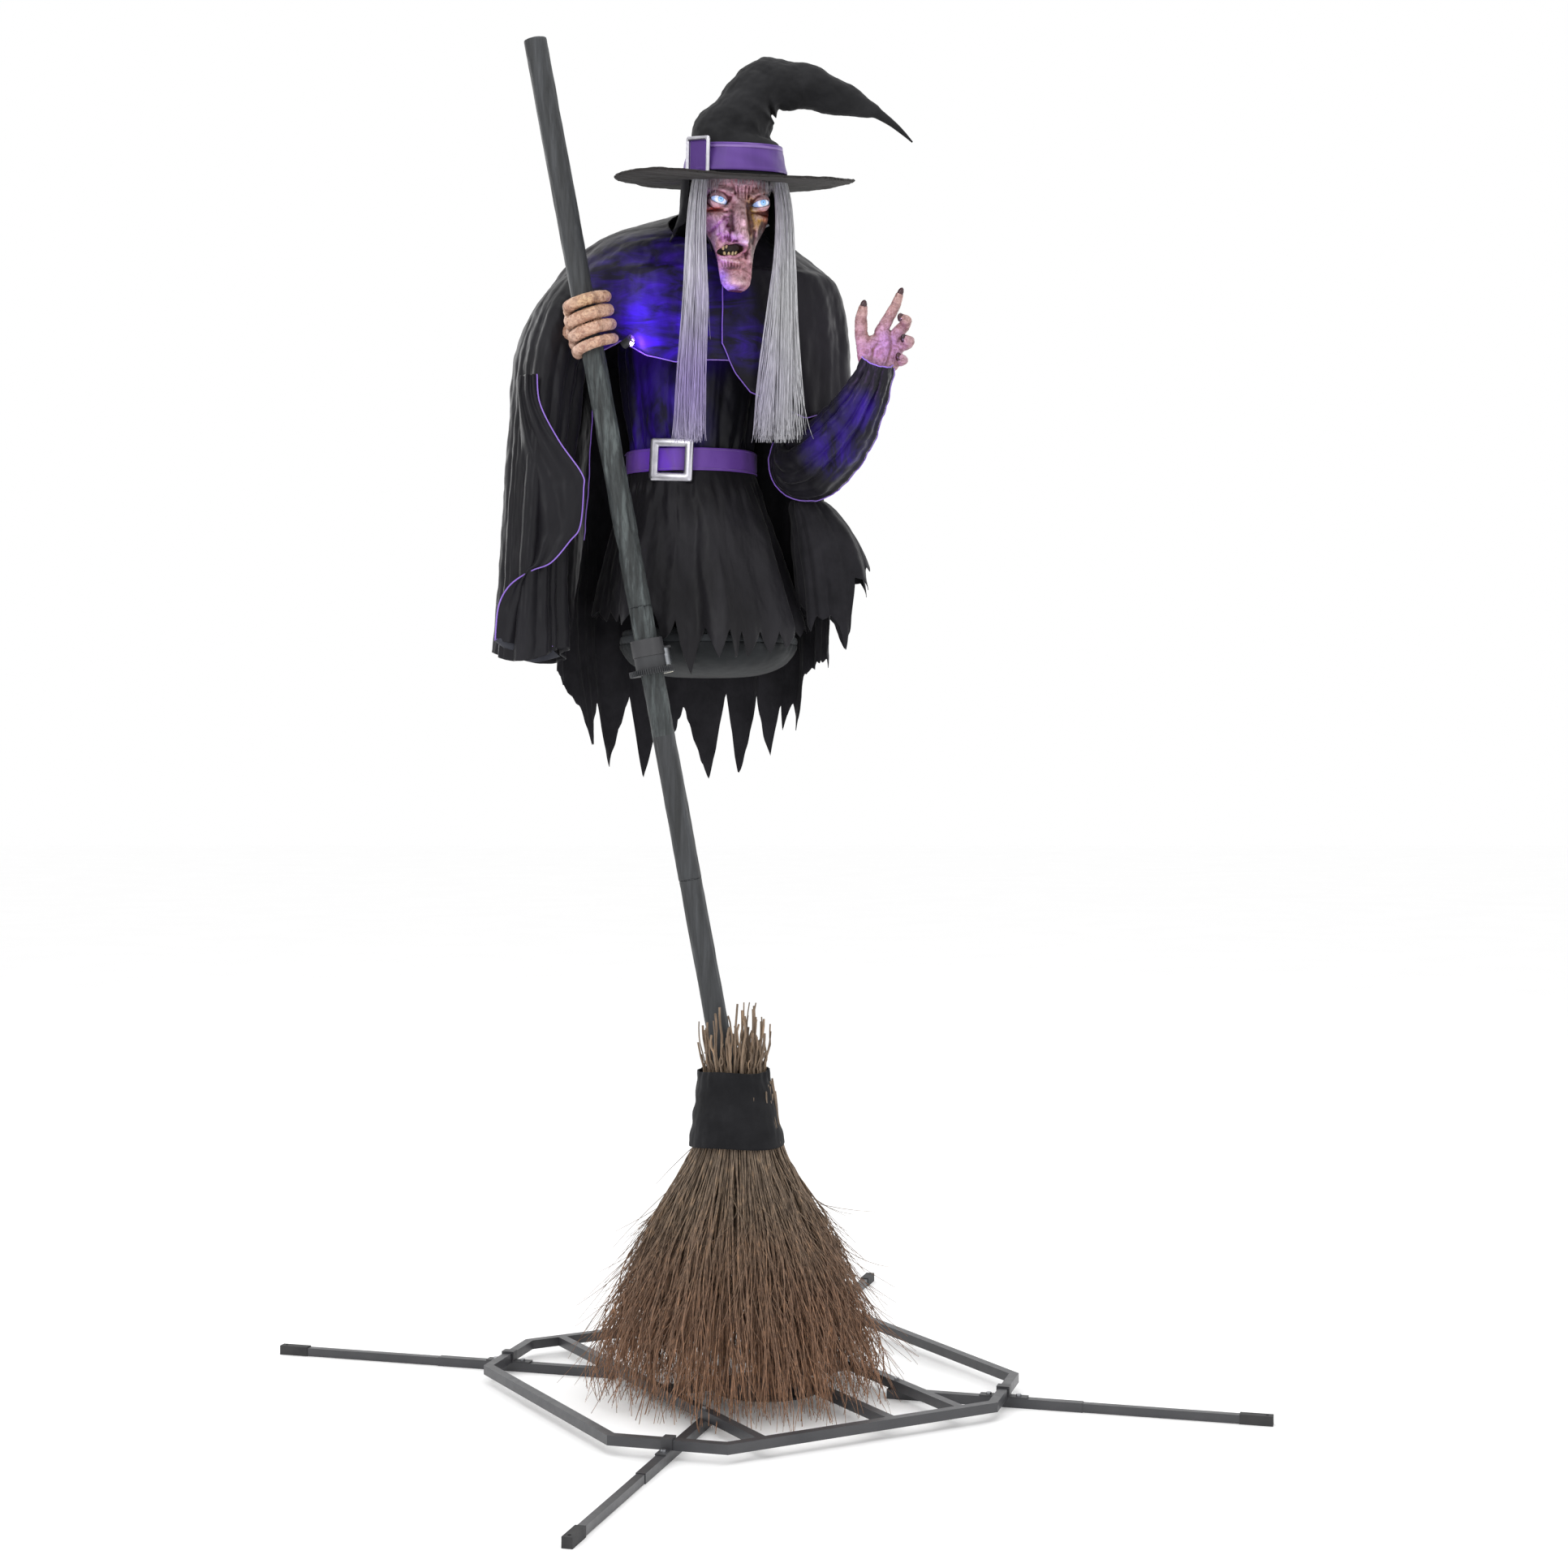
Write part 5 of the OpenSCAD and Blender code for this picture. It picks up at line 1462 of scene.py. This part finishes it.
def face_paint(x, z, a, hollow, dark, lip, gap):
    """The mask's sprayed colours, with its dark wash and painted shade in the hollows and dry-brushed paint
    and painted highlights on the ridges.
    """
    color = np.zeros((*x.shape, 3)) + np.array([0.42, 0.215, 0.235])
    patches = [((-4, -16), (58, 24), (0.56, 0.30, 0.36), 0.9),
               ((-80, -32), (22, 13), (0.44, 0.26, 0.50), 0.8),
               ((-52, -30), (26, 9), (0.34, 0.13, 0.17), 0.7),
               ((84, -24), (30, 14), (0.30, 0.21, 0.13), 0.8),
               ((-6, -76), (14, 26), (0.27, 0.125, 0.10), 0.8),
               ((32, -74), (18, 34), (0.40, 0.24, 0.020), 1.0),
               ((56, -104), (26, 24), (0.42, 0.25, 0.020), 1.0),
               ((34, -130), (11, 34), (0.56, 0.37, 0.16), 0.9),
               ((78, -88), (15, 15), (0.42, 0.095, 0.010), 0.95),
               ((-68, -80), (22, 8), (0.60, 0.11, 0.025), 0.95),
               ((-82, -102), (16, 8), (0.58, 0.27, 0.36), 0.8),
               ((-28, -106), (20, 16), (0.50, 0.27, 0.45), 0.85),
               ((-54, -118), (20, 16), (0.42, 0.17, 0.48), 0.85),
               ((-48, -136), (22, 16), (0.36, 0.115, 0.45), 0.95),
               ((-14, -152), (22, 12), (0.58, 0.27, 0.74), 0.95),
               ((14, -166), (13, 7), (0.74, 0.56, 0.84), 0.95),
               ((8, -112), (10, 22), (0.60, 0.34, 0.40), 0.7),
               ((2, -132), (6, 9), (0.17, 0.07, 0.05), 0.9),
               # painted shade: near-black patches in the cheek hollows under the cheekbones
               ((-84, -165), (20, 50), (0.050, 0.010, 0.004), 1.0),
               ((-66, -178), (10, 40), (0.10, 0.045, 0.006), 0.9),
               ((78, -160), (24, 42), (0.022, 0.010, 0.020), 1.0),
               ((50, -180), (12, 40), (0.06, 0.018, 0.012), 0.85),
               ((-34, -208), (20, 18), (0.34, 0.16, 0.30), 0.9),
               ((8, -222), (24, 22), (0.34, 0.17, 0.15), 0.9),
               # painted violet lamp light: the strong violet low on the chin
               ((-32, -262), (15, 26), (0.22, 0.09, 0.66), 0.95),
               ((-14, -288), (28, 9), (0.50, 0.36, 0.92), 0.95),
               ((16, -262), (15, 22), (0.50, 0.30, 0.30), 0.8),
               ((30, -244), (9, 34), (0.17, 0.08, 0.07), 0.8)]
    for at, size, tone, strength in patches:
        color = blot(color, x, z, at, size, tone, strength)
    color = color * np.array([1.38, 1.34, 1.40])
    # painted shade: the sides of the nose are darkened
    bridge = np.interp(z, [-178, -160, -130, -90, -40], [20, 15, 7, 3, 4])
    flank = hump(np.abs(x - bridge), 21, 5) * hump(z, -118, 46)
    color = color * (1 - 0.62 * flank[..., None])
    # The hollows are darkened by the mask's dark wash together with painted shade, and the ridges lightened
    # by dry-brushed paint together with painted highlights.
    dark_wash_and_shade = np.clip(hollow, 0, 1)[..., None]
    color = color * (1 - dark_wash_and_shade * np.array([0.80, 0.90, 0.88]))
    ridge_light = np.clip(-hollow, 0, 1)[..., None]
    color = color + (np.array([0.86, 0.66, 0.70]) - color) * ridge_light * 0.42
    color = color * (1 - 0.75 * lip[..., None] * np.array([0.35, 0.65, 0.6]))
    color = np.where((gap < 1.0)[..., None], np.array([0.030, 0.009, 0.003]), color)
    rim = np.clip(dark, 0, 1)[..., None]
    color = color * (1 - rim) + np.array([0.020, 0.024, 0.040]) * rim
    edge = step_up(np.abs(np.degrees(a)), 74, 96)
    return color * (1 - 0.80 * edge[..., None])


def face():
    cols = 214
    rows = 226
    a = np.radians(np.linspace(-112, 112, cols))[None, :]
    z = np.linspace(8, -297, rows)[:, None] + 0 * a
    a = a + 0 * z
    zs = [-297, -290, -276, -250, -220, -190, -165, -140, -110, -80, -54, -10, 10]
    half = np.interp(z, zs, [9, 28, 40, 45, 48, 54, 62, 76, 90, 94, 92, 86, 82])
    front = np.interp(z, zs, [-86, -98, -104, -98, -93, -92, -94, -98, -101, -100, -97, -100, -96])
    back = np.interp(z, zs, [-84, -88, -90, -86, -80, -68, -50, -26, -6, 4, 8, 10, 10])
    half = soften(half, 4)
    x = half * np.sign(np.sin(a)) * np.abs(np.sin(a)) ** 0.92
    y = back + (front - back) * np.sign(np.cos(a)) * np.abs(np.cos(a)) ** 0.75
    x = x + np.interp(z, zs, [5, 5, 4, 3, 1, -1, -1, 1, 2, 3, 3, 3, 3])

    f = features(x, z)
    rough = fbm(np.stack([x, y, z], -1), 1 / 22, 4, 3.0)
    fine = fbm(np.stack([x, y, z], -1), 1 / 7, 3, 9.0)
    wrinkle = -np.abs(rough) * 2.0 + fine * 0.6
    wrinkle = wrinkle + hump(z, -158, 34) * hump(np.abs(x), 50, 20) * 1.2 * np.cos(x / 3.8 + z / 16)
    gap = mouth_gap(x, z)
    lip = np.exp(-(((np.sqrt(gap) - 1.15) / 0.12) ** 2))
    f = f + 6 * lip + lip * 1.5 * np.cos(x / 1.9) + wrinkle
    turn_in = np.clip(np.cos(a), 0, 1) ** 0.4
    y = y - f * turn_in
    x = x + 0.35 * wrinkle * np.sin(a)
    y = np.where(gap < 1.0, np.maximum(y, -92) + 24 * np.clip((1 - gap) * 3.2, 0, 1) ** 0.7, y)

    dark = np.zeros_like(x)
    for ex, ez in EYES:
        lean = -0.22 * np.sign(ex) * (x - ex)
        dx = x - ex
        dz = z - ez + 0.004 * dx * dx + lean
        oval = np.sqrt((dx / 22.5) ** 2 + (dz / np.where(dz > 0, 7.0, 10.5)) ** 2)
        rho = np.hypot(x - ex, z - ez)
        ball = -(77 + np.sqrt(np.maximum(25.5**2 - rho**2, 0)))
        lid = (oval >= 1.0) & (rho < 25)
        y = np.where(lid, np.minimum(y, ball - 1.5 * hump(oval, 1.1, 0.12)), y)
        y = np.where(oval < 1.0, -70 + 0 * y, y)
        dark = np.maximum(dark, np.exp(-(((oval - 1.02) / 0.15) ** 2)))
        dark = np.where(oval < 1.0, 1.0, dark)
    # cavity of the surface: it drives the painted shade in the hollows and the painted highlights on the
    # ridges in face_paint
    deep = np.maximum(y, -200)
    sunk = (deep - soften(deep, 3)) / 2.8 + (deep - soften(deep, 8)) / 7.0
    sunk = np.where((gap < 1.1) | (dark > 0.9), 0, sunk)
    color = face_paint(x, z, a, sunk, dark, lip, gap)

    obj = grid_mesh("mask_face", on_face(np.stack([x, y, z], -1)), SKIN)
    paint(obj, color.reshape(-1, 3))
    thick = obj.modifiers.new("shell", "SOLIDIFY")
    thick.thickness = 0.002
    thick.offset = -1 if obj.data.polygons[rows * cols // 2].normal.y < 0 else 1
    apply_modifiers(obj)
    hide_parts("head_shell", "jaw")
    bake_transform(obj)
    head_sock()
    glowing_eyes()
    teeth()
    scalp()


def head_sock():
    """The black stretch cloth behind the mask, closing the back of the head."""
    cols = 120
    a = np.radians(np.linspace(84, 276, cols))[None, :]
    z = np.linspace(4, -188, 90)[:, None] + 0 * a
    a = a + 0 * z
    half = np.interp(z, [-188, -165, -140, -110, -80, -10, 4], [50, 58, 72, 86, 90, 83, 78])
    deep = np.interp(z, [-188, -165, -140, -110, -60, -20, 4], [70, 84, 98, 106, 108, 104, 98])
    points = np.stack([half * np.sin(a), 4 - deep * np.cos(a), z], -1)
    points = points + 1.6 * (fbm(points, 1 / 40, 3, 31.0))[..., None] * np.array([1.0, 1.0, 0])
    obj = grid_mesh("head_sock", on_face(points), HOOD_CLOTH, thick=1.2)
    finish_cloth(obj, points, "head", ())


def glowing_eyes():
    balls = []
    for ex, ez in EYES:
        t = np.linspace(0, math.pi, 40)[:, None]
        p = closed_ring(60)[None, :]
        r = 23.0 + 0.7 * hump(t, 0, 0.42) + 0 * p
        ball = np.stack([ex + r * np.sin(t) * np.cos(p), -77 - r * np.cos(t) + 0 * p,
                         ez + r * np.sin(t) * np.sin(p)], -1)
        eye = grid_mesh("eye", on_face(ball), EYE, wrap=True)
        far = np.hypot(ball[..., 0] - ex - 3, ball[..., 2] - ez - 1) * 1.12
        spokes = 0.5 + 0.5 * np.sin(19 * np.arctan2(ball[..., 2] - ez - 1, ball[..., 0] - ex - 3))
        iris = (1 - step_up(far, 8.0, 9.6))[..., None]
        ring = hump(far, 9.0, 0.9)[..., None]
        pupil = (1 - step_up(far, 2.0, 3.0))[..., None]
        outer = step_up(far, 13, 22)[..., None]
        white = np.array([0.78, 0.84, 0.97]) - 0.25 * outer * np.array([1.6, 1.3, 0.4])
        blue = np.array([0.16, 0.42, 0.92]) + spokes[..., None] * np.array([0.22, 0.24, 0.06])
        tint = white * (1 - iris) + blue * iris
        tint = tint * (1 - 0.6 * ring) * (1 - 0.75 * pupil)
        paint(eye, tint.reshape(-1, 3))
        balls.append(eye)
    eyes = join("glowing_eyes", balls)
    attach(eyes, "head")
    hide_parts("eyes")


def tooth(at, size, lean, upper):
    """One worn, slightly crooked peg of a tooth."""
    t = np.linspace(0, 1, 12)[:, None]
    p = closed_ring(18)[None, :]
    way = -1.0 if upper else 1.0
    r = np.interp(t, [0, 0.5, 0.85, 0.97, 1], [1, 0.95, 0.72, 0.4, 0.05])
    x = at[0] + size[0] * r * np.cos(p) + lean * t * size[2] + 0.5 * np.sin(p * 3 + at[0])
    y = at[1] + size[1] * r * np.sin(p)
    z = at[2] + way * size[2] * t + 0 * p
    points = np.stack([x, y, z], -1)
    return grid_mesh("tooth", on_face(points if not upper else points[:, ::-1]), TOOTH, wrap=True,
                     caps=(True, True))


def teeth():
    top = [tooth((-36, -80, -172), (3.8, 3.2, 15), 0.15, True),
           tooth((-25, -80, -173), (3.0, 3.0, 9), -0.1, True)]
    low = [tooth((-29, -80, -199), (3.6, 3.0, 9), -0.15, False),
           tooth((-18, -82, -201), (3.9, 3.2, 11), 0.05, False),
           tooth((-8, -82, -200), (3.8, 3.2, 12), 0.1, False),
           tooth((1, -81, -196), (3.2, 3.0, 9), 0.2, False)]
    upper = join("teeth_upper", top)
    lower = join("teeth_lower", low)
    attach(upper, "head")
    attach(lower, "jaw")


def scalp():
    """Short grey hairs that hang over the forehead from under the brim."""
    rng = np.random.default_rng(8)
    paths = []
    radii = []
    for _ in range(110):
        x = rng.uniform(-90, 94)
        y = -100 + 0.0042 * x * x - rng.uniform(4, 10)
        long = rng.uniform(10, 26) * (1.0 if abs(x) < 60 else 2.0)
        t = np.linspace(0, 1, 7)
        lean = rng.normal(0, 5)
        path = np.stack([x + lean * t**1.5, y - 5 * np.sin(t * 2.4), 6 - long * t], -1)
        paths.append(on_face(path))
        radii.append(np.linspace(0.75, 0.25, 7))
    fringe = tubes("fringe_hairs", paths, radii, BROW_HAIR, 4, (0.1, 0.99, 0.05))
    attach(fringe, "head")


def hair():
    rng = np.random.default_rng(19)
    left = np.array([(-132, 22, 3300, 20, 14), (-140, 8, 3230, 23, 14), (-146, 2, 3120, 27, 14),
                     (-149, -2, 2950, 33, 16),
                     (-158, -6, 2750, 38, 17), (-166, -8, 2600, 40, 17), (-168, -8, 2560, 42, 17)], float)
    right = np.array([(78, 78, 3300, 20, 14), (92, 62, 3220, 22, 14), (96, 50, 3100, 26, 14),
                      (92, 34, 2950, 35, 16),
                      (86, 26, 2780, 48, 18), (80, 20, 2620, 62, 19), (79, 18, 2560, 66, 19)], float)
    for k, line in enumerate((left, right)):
        paths = []
        radii = []
        for _ in range(420 if k else 360):
            rho = math.sqrt(rng.uniform(0, 1))
            phi = rng.uniform(0, TAU)
            n = 30
            path = spline(line, n)
            short = rng.uniform(0.86, 1.0) if rng.random() < 0.6 else rng.uniform(0.62, 0.95)
            path = path[: max(8, int(n * short))]
            n = len(path)
            t = np.linspace(0, 1, n)
            tuft = 0.20 * np.sin(5 * phi + 3 * t) * t
            sway = rng.normal(0, 0.16) * t**2 + 0.10 * np.sin(6 * t + 9 * phi) * t
            rho = rho * (1 - 0.35 * step_up(t, 0.7, 1.0) * (0.5 + 0.5 * np.sin(3 * phi)))
            x = path[:, 0] + path[:, 3] * (rho * math.cos(phi) + tuft + sway)
            y = path[:, 1] + path[:, 4] * rho * math.sin(phi)
            x = x + 1.2 * np.sin(t * rng.uniform(8, 18) + phi) * t
            paths.append(np.stack([x, y, path[:, 2]], -1))
            radii.append(np.interp(t, [0, 0.8, 1], [0.95, 0.8, 0.3]))
        lock = tubes("hair_lock_right" if k else "hair_lock_left", paths, radii, HAIR, 4, (0.1, 0.99, 0.05))
        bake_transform(lock)
    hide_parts("hair")


# ---------- hands ----------

def capsule(a, ra, b, rb, sides=20):
    """A closed tapered capsule between two points."""
    a = np.array(a, float)
    b = np.array(b, float)
    way = unit(b - a)
    u = unit(np.cross(way, [0.31, 0.87, 0.22]))
    w = np.cross(way, u)
    p = np.arange(sides) * TAU / sides
    spin = np.cos(p)[:, None] * u + np.sin(p)[:, None] * w
    rings = []
    for s in np.linspace(-math.pi / 2 + 0.12, 0, 6):
        rings.append(a + way * ra * math.sin(s) + spin * ra * math.cos(s))
    for s in np.linspace(0, math.pi / 2 - 0.12, 6):
        rings.append(b + way * rb * math.sin(s) + spin * rb * math.cos(s))
    points = np.array(rings)
    faces = grid_faces(12, sides, True)
    faces.append(list(range(sides)))
    faces.append(list(range(11 * sides, 12 * sides))[::-1])
    return points.reshape(-1, 3), faces


def flesh(name, chains, voxel=2.0, smooth=7):
    """One skin over chains of (point, radius), remeshed so that the chains flow together."""
    verts = []
    faces = []
    base = 0
    for chain in chains:
        for (a, ra), (b, rb) in zip(chain[:-1], chain[1:]):
            p, f = capsule(a, ra, b, rb)
            verts.append(p)
            faces.extend([[i + base for i in q] for q in f])
            base += len(p)
    obj = new_mesh(name, np.concatenate(verts), faces, HAND_SKIN)
    mod = obj.modifiers.new("remesh", "REMESH")
    mod.mode = "VOXEL"
    mod.voxel_size = voxel * MM
    mod.use_smooth_shade = True
    ease = obj.modifiers.new("ease", "SMOOTH")
    ease.factor = 0.6
    ease.iterations = smooth
    apply_modifiers(obj)
    return obj


def wrinkle_and_paint_shade(obj, base, crease, seed, lines=(), wrinkle=1.0, tones=()):
    """Wrinkles a hand and paints shade into its creases. lines are (point, direction, depth) knuckle folds.
    """
    data = obj.data
    n = len(data.vertices)
    co = np.empty(n * 3)
    data.vertices.foreach_get("co", co)
    co = co.reshape(-1, 3) * 1000
    no = np.empty(n * 3)
    data.vertices.foreach_get("normal", no)
    no = no.reshape(-1, 3)
    edges = np.empty(len(data.edges) * 2, dtype=np.int64)
    data.edges.foreach_get("vertices", edges)
    i, j = edges.reshape(-1, 2).T
    count = np.bincount(i, minlength=n) + np.bincount(j, minlength=n)
    mean = np.zeros((n, 3))
    np.add.at(mean, i, co[j])
    np.add.at(mean, j, co[i])
    hollow = ((mean / count[:, None] - co) * no).sum(axis=1)
    for _ in range(5):
        total = np.bincount(i, hollow[j], n) + np.bincount(j, hollow[i], n)
        hollow = 0.4 * hollow + 0.6 * total / count
    ridged = -np.abs(fbm(co, 1 / 11, 3, seed)) * 1.5 * wrinkle
    ridged = ridged + 0.5 * wrinkle * fbm(co, 1 / 4.5, 2, seed + 4)
    push = ridged
    fold = np.zeros(n)
    for at, way, depth in lines:
        d = (co - np.array(at)) @ unit(way)
        near = np.linalg.norm(co - np.array(at), axis=1) < 26
        for k in (-1, 0, 1):
            groove = np.exp(-(((d - k * 4.2) / 1.25) ** 2)) * near
            push = push - depth * groove
            fold = np.maximum(fold, groove)
    co = co + no * push[:, None]
    data.vertices.foreach_set("co", (co * MM).ravel())
    data.update()
    # painted shade: darker in the hollows found from the cavity measure, in the knuckle folds and in the
    # deepest wrinkle grooves
    dark = np.clip(hollow * 9.0, 0, 1)
    dark = np.maximum(dark, 0.6 * fold)
    dark = np.maximum(dark, np.clip(-(ridged + 0.75) * 0.8, 0, 0.5))
    color = np.zeros((n, 3)) + np.array(base)
    for at, size, tone, strength in tones:
        w = strength * np.exp(-((np.linalg.norm(co - np.array(at), axis=1) / size) ** 2))
        color = color * (1 - w[:, None]) + np.array(tone) * w[:, None]
    color = color * (1 - dark[:, None]) + np.array(crease) * dark[:, None]
    paint(obj, color)


def nail(at, forward, up, size):
    """A pointed, arched nail: forward is along the finger, up away from it."""
    f = unit(forward)
    n = unit(np.asarray(up, float) - f * np.dot(up, f))
    s = np.cross(f, n)
    v = np.linspace(0, 1, 14)[:, None]
    w = np.linspace(-1, 1, 13)[None, :]
    wide = size[0] * np.interp(v, [0, 0.15, 0.6, 0.85, 1], [0.80, 1.0, 0.92, 0.62, 0.12])
    arch = size[2] * (1 - w**2) - 0.30 * size[2] * (v * 2 - 1) ** 2 - 2.0 * v**3
    points = (np.asarray(at, float) + f * (v * size[1])[..., None] + s * (wide * w)[..., None]
              + n * (arch - size[2] * 0.35)[..., None])
    return grid_mesh("nail", points, NAIL, thick=1.6)


def right_hand():
    def grip(s, angle, extra=0.0):
        a = math.radians(angle)
        r = 52 + extra
        side = 11 + r * math.cos(a)
        deep = (r - 2) * math.sin(a)
        return STICK_FOOT + STICK_AXIS * s + STICK_SIDE * side + STICK_BACK * deep

    chains = []
    lines = []
    nails = []
    for k in range(4):
        s = GRIP_AT - 54 + 36 * k
        r = (15.5, 18.0, 18.5, 17.5)[k]
        tilt = (-6, -3, 0, 4)[k]
        angles = (172, 200, 232, 262, 292, 322, 350, 376)
        grow = (1.04, 1.0, 0.98, 0.96, 0.98, 0.95, 0.9, 0.8)
        chain = []
        for m, (angle, g) in enumerate(zip(angles, grow)):
            rise = (m - 3.5) * (3.4 if k < 3 else 2.2) + tilt
            bump = 3.0 if m in (1, 4) else 0.0
            chain.append((grip(s + rise, angle, bump), r * g))
        chains.append(chain)
        for m in (1, 4):
            lines.append((chain[m][0], np.array(chain[m + 1][0]) - np.array(chain[m - 1][0]), 0.9))
        tip = np.array(chain[-1][0])
        way = tip - np.array(chain[-2][0])
        out = tip - (STICK_FOOT + STICK_AXIS * s + STICK_SIDE * 11)
        nails.append(nail(tip + unit(out) * r * 0.62 - unit(way) * 2, way, out, (r * 0.52, 17, 4.5)))
    for s, r in ((-44, 24), (-14, 27), (18, 27), (44, 23)):
        chains.append([(grip(GRIP_AT + s, 168, 2), r * 0.82), (grip(GRIP_AT + s, 140, 8), r),
                       (grip(GRIP_AT + s, 108, 10), r)])
    chains.append([(grip(GRIP_AT - 36, 140, 8), 22), (grip(GRIP_AT + 40, 140, 8), 22)])
    chains.append([(grip(GRIP_AT - 30, 112, 12), 24), (grip(GRIP_AT + 40, 112, 12), 24)])
    chains.append([(grip(GRIP_AT + 6, 120, 12), 30), (grip(GRIP_AT + 2, 125, 60), 26),
                   (grip(GRIP_AT - 4, 128, 100), 25)])
    chains.append([(grip(GRIP_AT + 44, 100, 6), 20), (grip(GRIP_AT + 66, 70, 2), 18),
                   (grip(GRIP_AT + 70, 30, -1), 16),
                   (grip(GRIP_AT + 70, 2, -2), 13)])
    hand = flesh("gripping_hand", chains, 2.0, 6)
    wrinkle_and_paint_shade(hand, (0.64, 0.41, 0.29), (0.15, 0.065, 0.028), 2.0, lines, 1.0,
            [(grip(GRIP_AT + 54, 270, 10), 34, (0.55, 0.38, 0.19), 0.6),
             (grip(GRIP_AT - 60, 200, 10), 40, (0.60, 0.42, 0.36), 0.5),
             # painted violet lamp light: violet and mauve at the fingertips, next to the violet lamp at this
             # hand
             (grip(GRIP_AT - 30, 380, 10), 46, (0.55, 0.40, 0.62), 0.6),
             (grip(GRIP_AT + 20, 385, 10), 40, (0.60, 0.45, 0.55), 0.5)])
    claws = join("gripping_nails", nails)
    for obj in (hand, claws):
        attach(obj, "figure")
    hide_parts("right_hand")


def left_hand():
    w = np.array([339.0, -10.0, 2722.0])
    spots = {
        "palm": [[((-8, 12, -28), 25), ((-6, 2, 14), 27), ((10, -2, 60), 31), ((22, 0, 104), 29),
                  ((20, 0, 132), 24)],
                 [((6, 0, 30), 26), ((42, 0, 56), 25), ((54, 0, 84), 22), ((50, 0, 118), 20)],
                 [((-4, 0, 30), 26), ((-24, -6, 70), 24), ((-29, -10, 100), 22), ((8, 0, 112), 24)]],
        "thumb": [((-29, -10, 96), 21), ((-38, -17, 134), 18.5), ((-38, -25, 172), 17),
                  ((-33, -31, 198), 13)],
        "index": [((16, -2, 140), 18), ((38, -8, 178), 16), ((55, -15, 208), 14.5), ((65, -21, 234), 11.5)],
        "middle": [((46, 0, 122), 18), ((78, -4, 154), 17), ((84, -22, 166), 15.5), ((73, -40, 170), 12)],
        "ring": [((52, 0, 98), 18), ((86, -8, 106), 16.5), ((92, -28, 110), 15), ((81, -46, 113), 12)],
        "little": [((48, 0, 66), 17), ((68, -8, 60), 15), ((76, -26, 60), 13.5), ((67, -42, 64), 11)]}
    chains = [[(w + p, r) for p, r in chain] for chain in spots["palm"]]
    lines = []
    nails = []
    for key in ("thumb", "index", "middle", "ring", "little"):
        chain = [(w + p, r) for p, r in spots[key]]
        chains.append(chain)
        for m in (1, 2):
            lines.append((chain[m][0], chain[m + 1][0] - chain[m - 1][0], 0.9))
        tip = chain[-1][0]
        way = tip - chain[-2][0]
        r = chain[-1][1]
        if key in ("thumb", "index"):
            nails.append(nail(tip - unit(way) * 3 - np.array([0, r * 0.55, 0]), way, (0, -1, 0.1),
                              (r * 0.70, 24, 5.0)))
        else:
            nails.append(nail(tip + unit((-0.5, -1, 0.1)) * r * 0.45 - np.array([0, 0, 8.0]),
                              (-0.35, -0.2, 1.0),
                              (-0.3, -1, 0.1), (r * 0.80, 20, 5.0)))
    hand = flesh("raised_hand", chains, 2.0, 6)
    palm = w + np.array([16, -28, 80])
    wrinkle_and_paint_shade(hand, (0.50, 0.31, 0.28), (0.19, 0.075, 0.075), 6.0, lines, 1.1,
            # the violet patches at the palm and at (34, -28, 112) are painted violet lamp light, where
            # palm_lamp shines
            [(palm, 70, (0.48, 0.24, 0.50), 0.85),
             (w + np.array([-4, -24, 24]), 36, (0.48, 0.19, 0.38), 0.8),
             (w + np.array([34, -28, 112]), 30, (0.52, 0.27, 0.60), 0.8),
             (w + np.array([44, -20, 24]), 22, (0.50, 0.34, 0.20), 0.6),
             (w + np.array([-20, -20, 130]), 22, (0.34, 0.20, 0.06), 0.5)])
    claws = join("raised_nails", nails)
    for obj in (hand, claws):
        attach(obj, "forearm")
    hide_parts("left_hand")


def spotlight():
    lo, hi = node_box("spotlight")
    centre = (lo + hi) / 2
    way = unit([0.75, -0.35, -0.25])
    u = unit(np.cross(way, [0, 0, 1]))
    n = np.cross(u, way)
    t = np.linspace(0, math.pi / 2, 8)[:, None]
    p = closed_ring(24)[None, :]
    size = 0.26 * (hi - lo).min()
    dome = (centre + way * ((hi - lo).max() * 0.30 + size * 0.5 * np.cos(t))[..., None]
            + u * (size * np.sin(t) * np.cos(p))[..., None] + n * (size * np.sin(t) * np.sin(p))[..., None])
    lens = grid_mesh("lamp_lens_dome", dome, LENS, wrap=True, caps=(False, True))
    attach(lens, "figure")
    return centre


stage_set()
stick()
twigs()
binding()
cape()
bodice()
seat()
skirt()
belt()
buckles()
robe()
hip()
right_sleeve()
left_sleeve()
hat()
hood()
face()
hair()
right_hand()
left_hand()
lamp_at = spotlight()
lamp("chest_lamp", lamp_at + [14, -20, 10], (-240, 150, 2900), 3.2, 130, (0.30, 0.10, 1.0), "figure")
lamp("chin_lamp", (-120, -260, 2760), (-60, 0, 3080), 2.2, 45, (0.55, 0.30, 1.0), "figure")
lamp("palm_lamp", (150, -260, 2640), (350, 0, 2790), 2.5, 50, (0.60, 0.32, 1.0), "figure")
print("SHEETS", SHEETS)
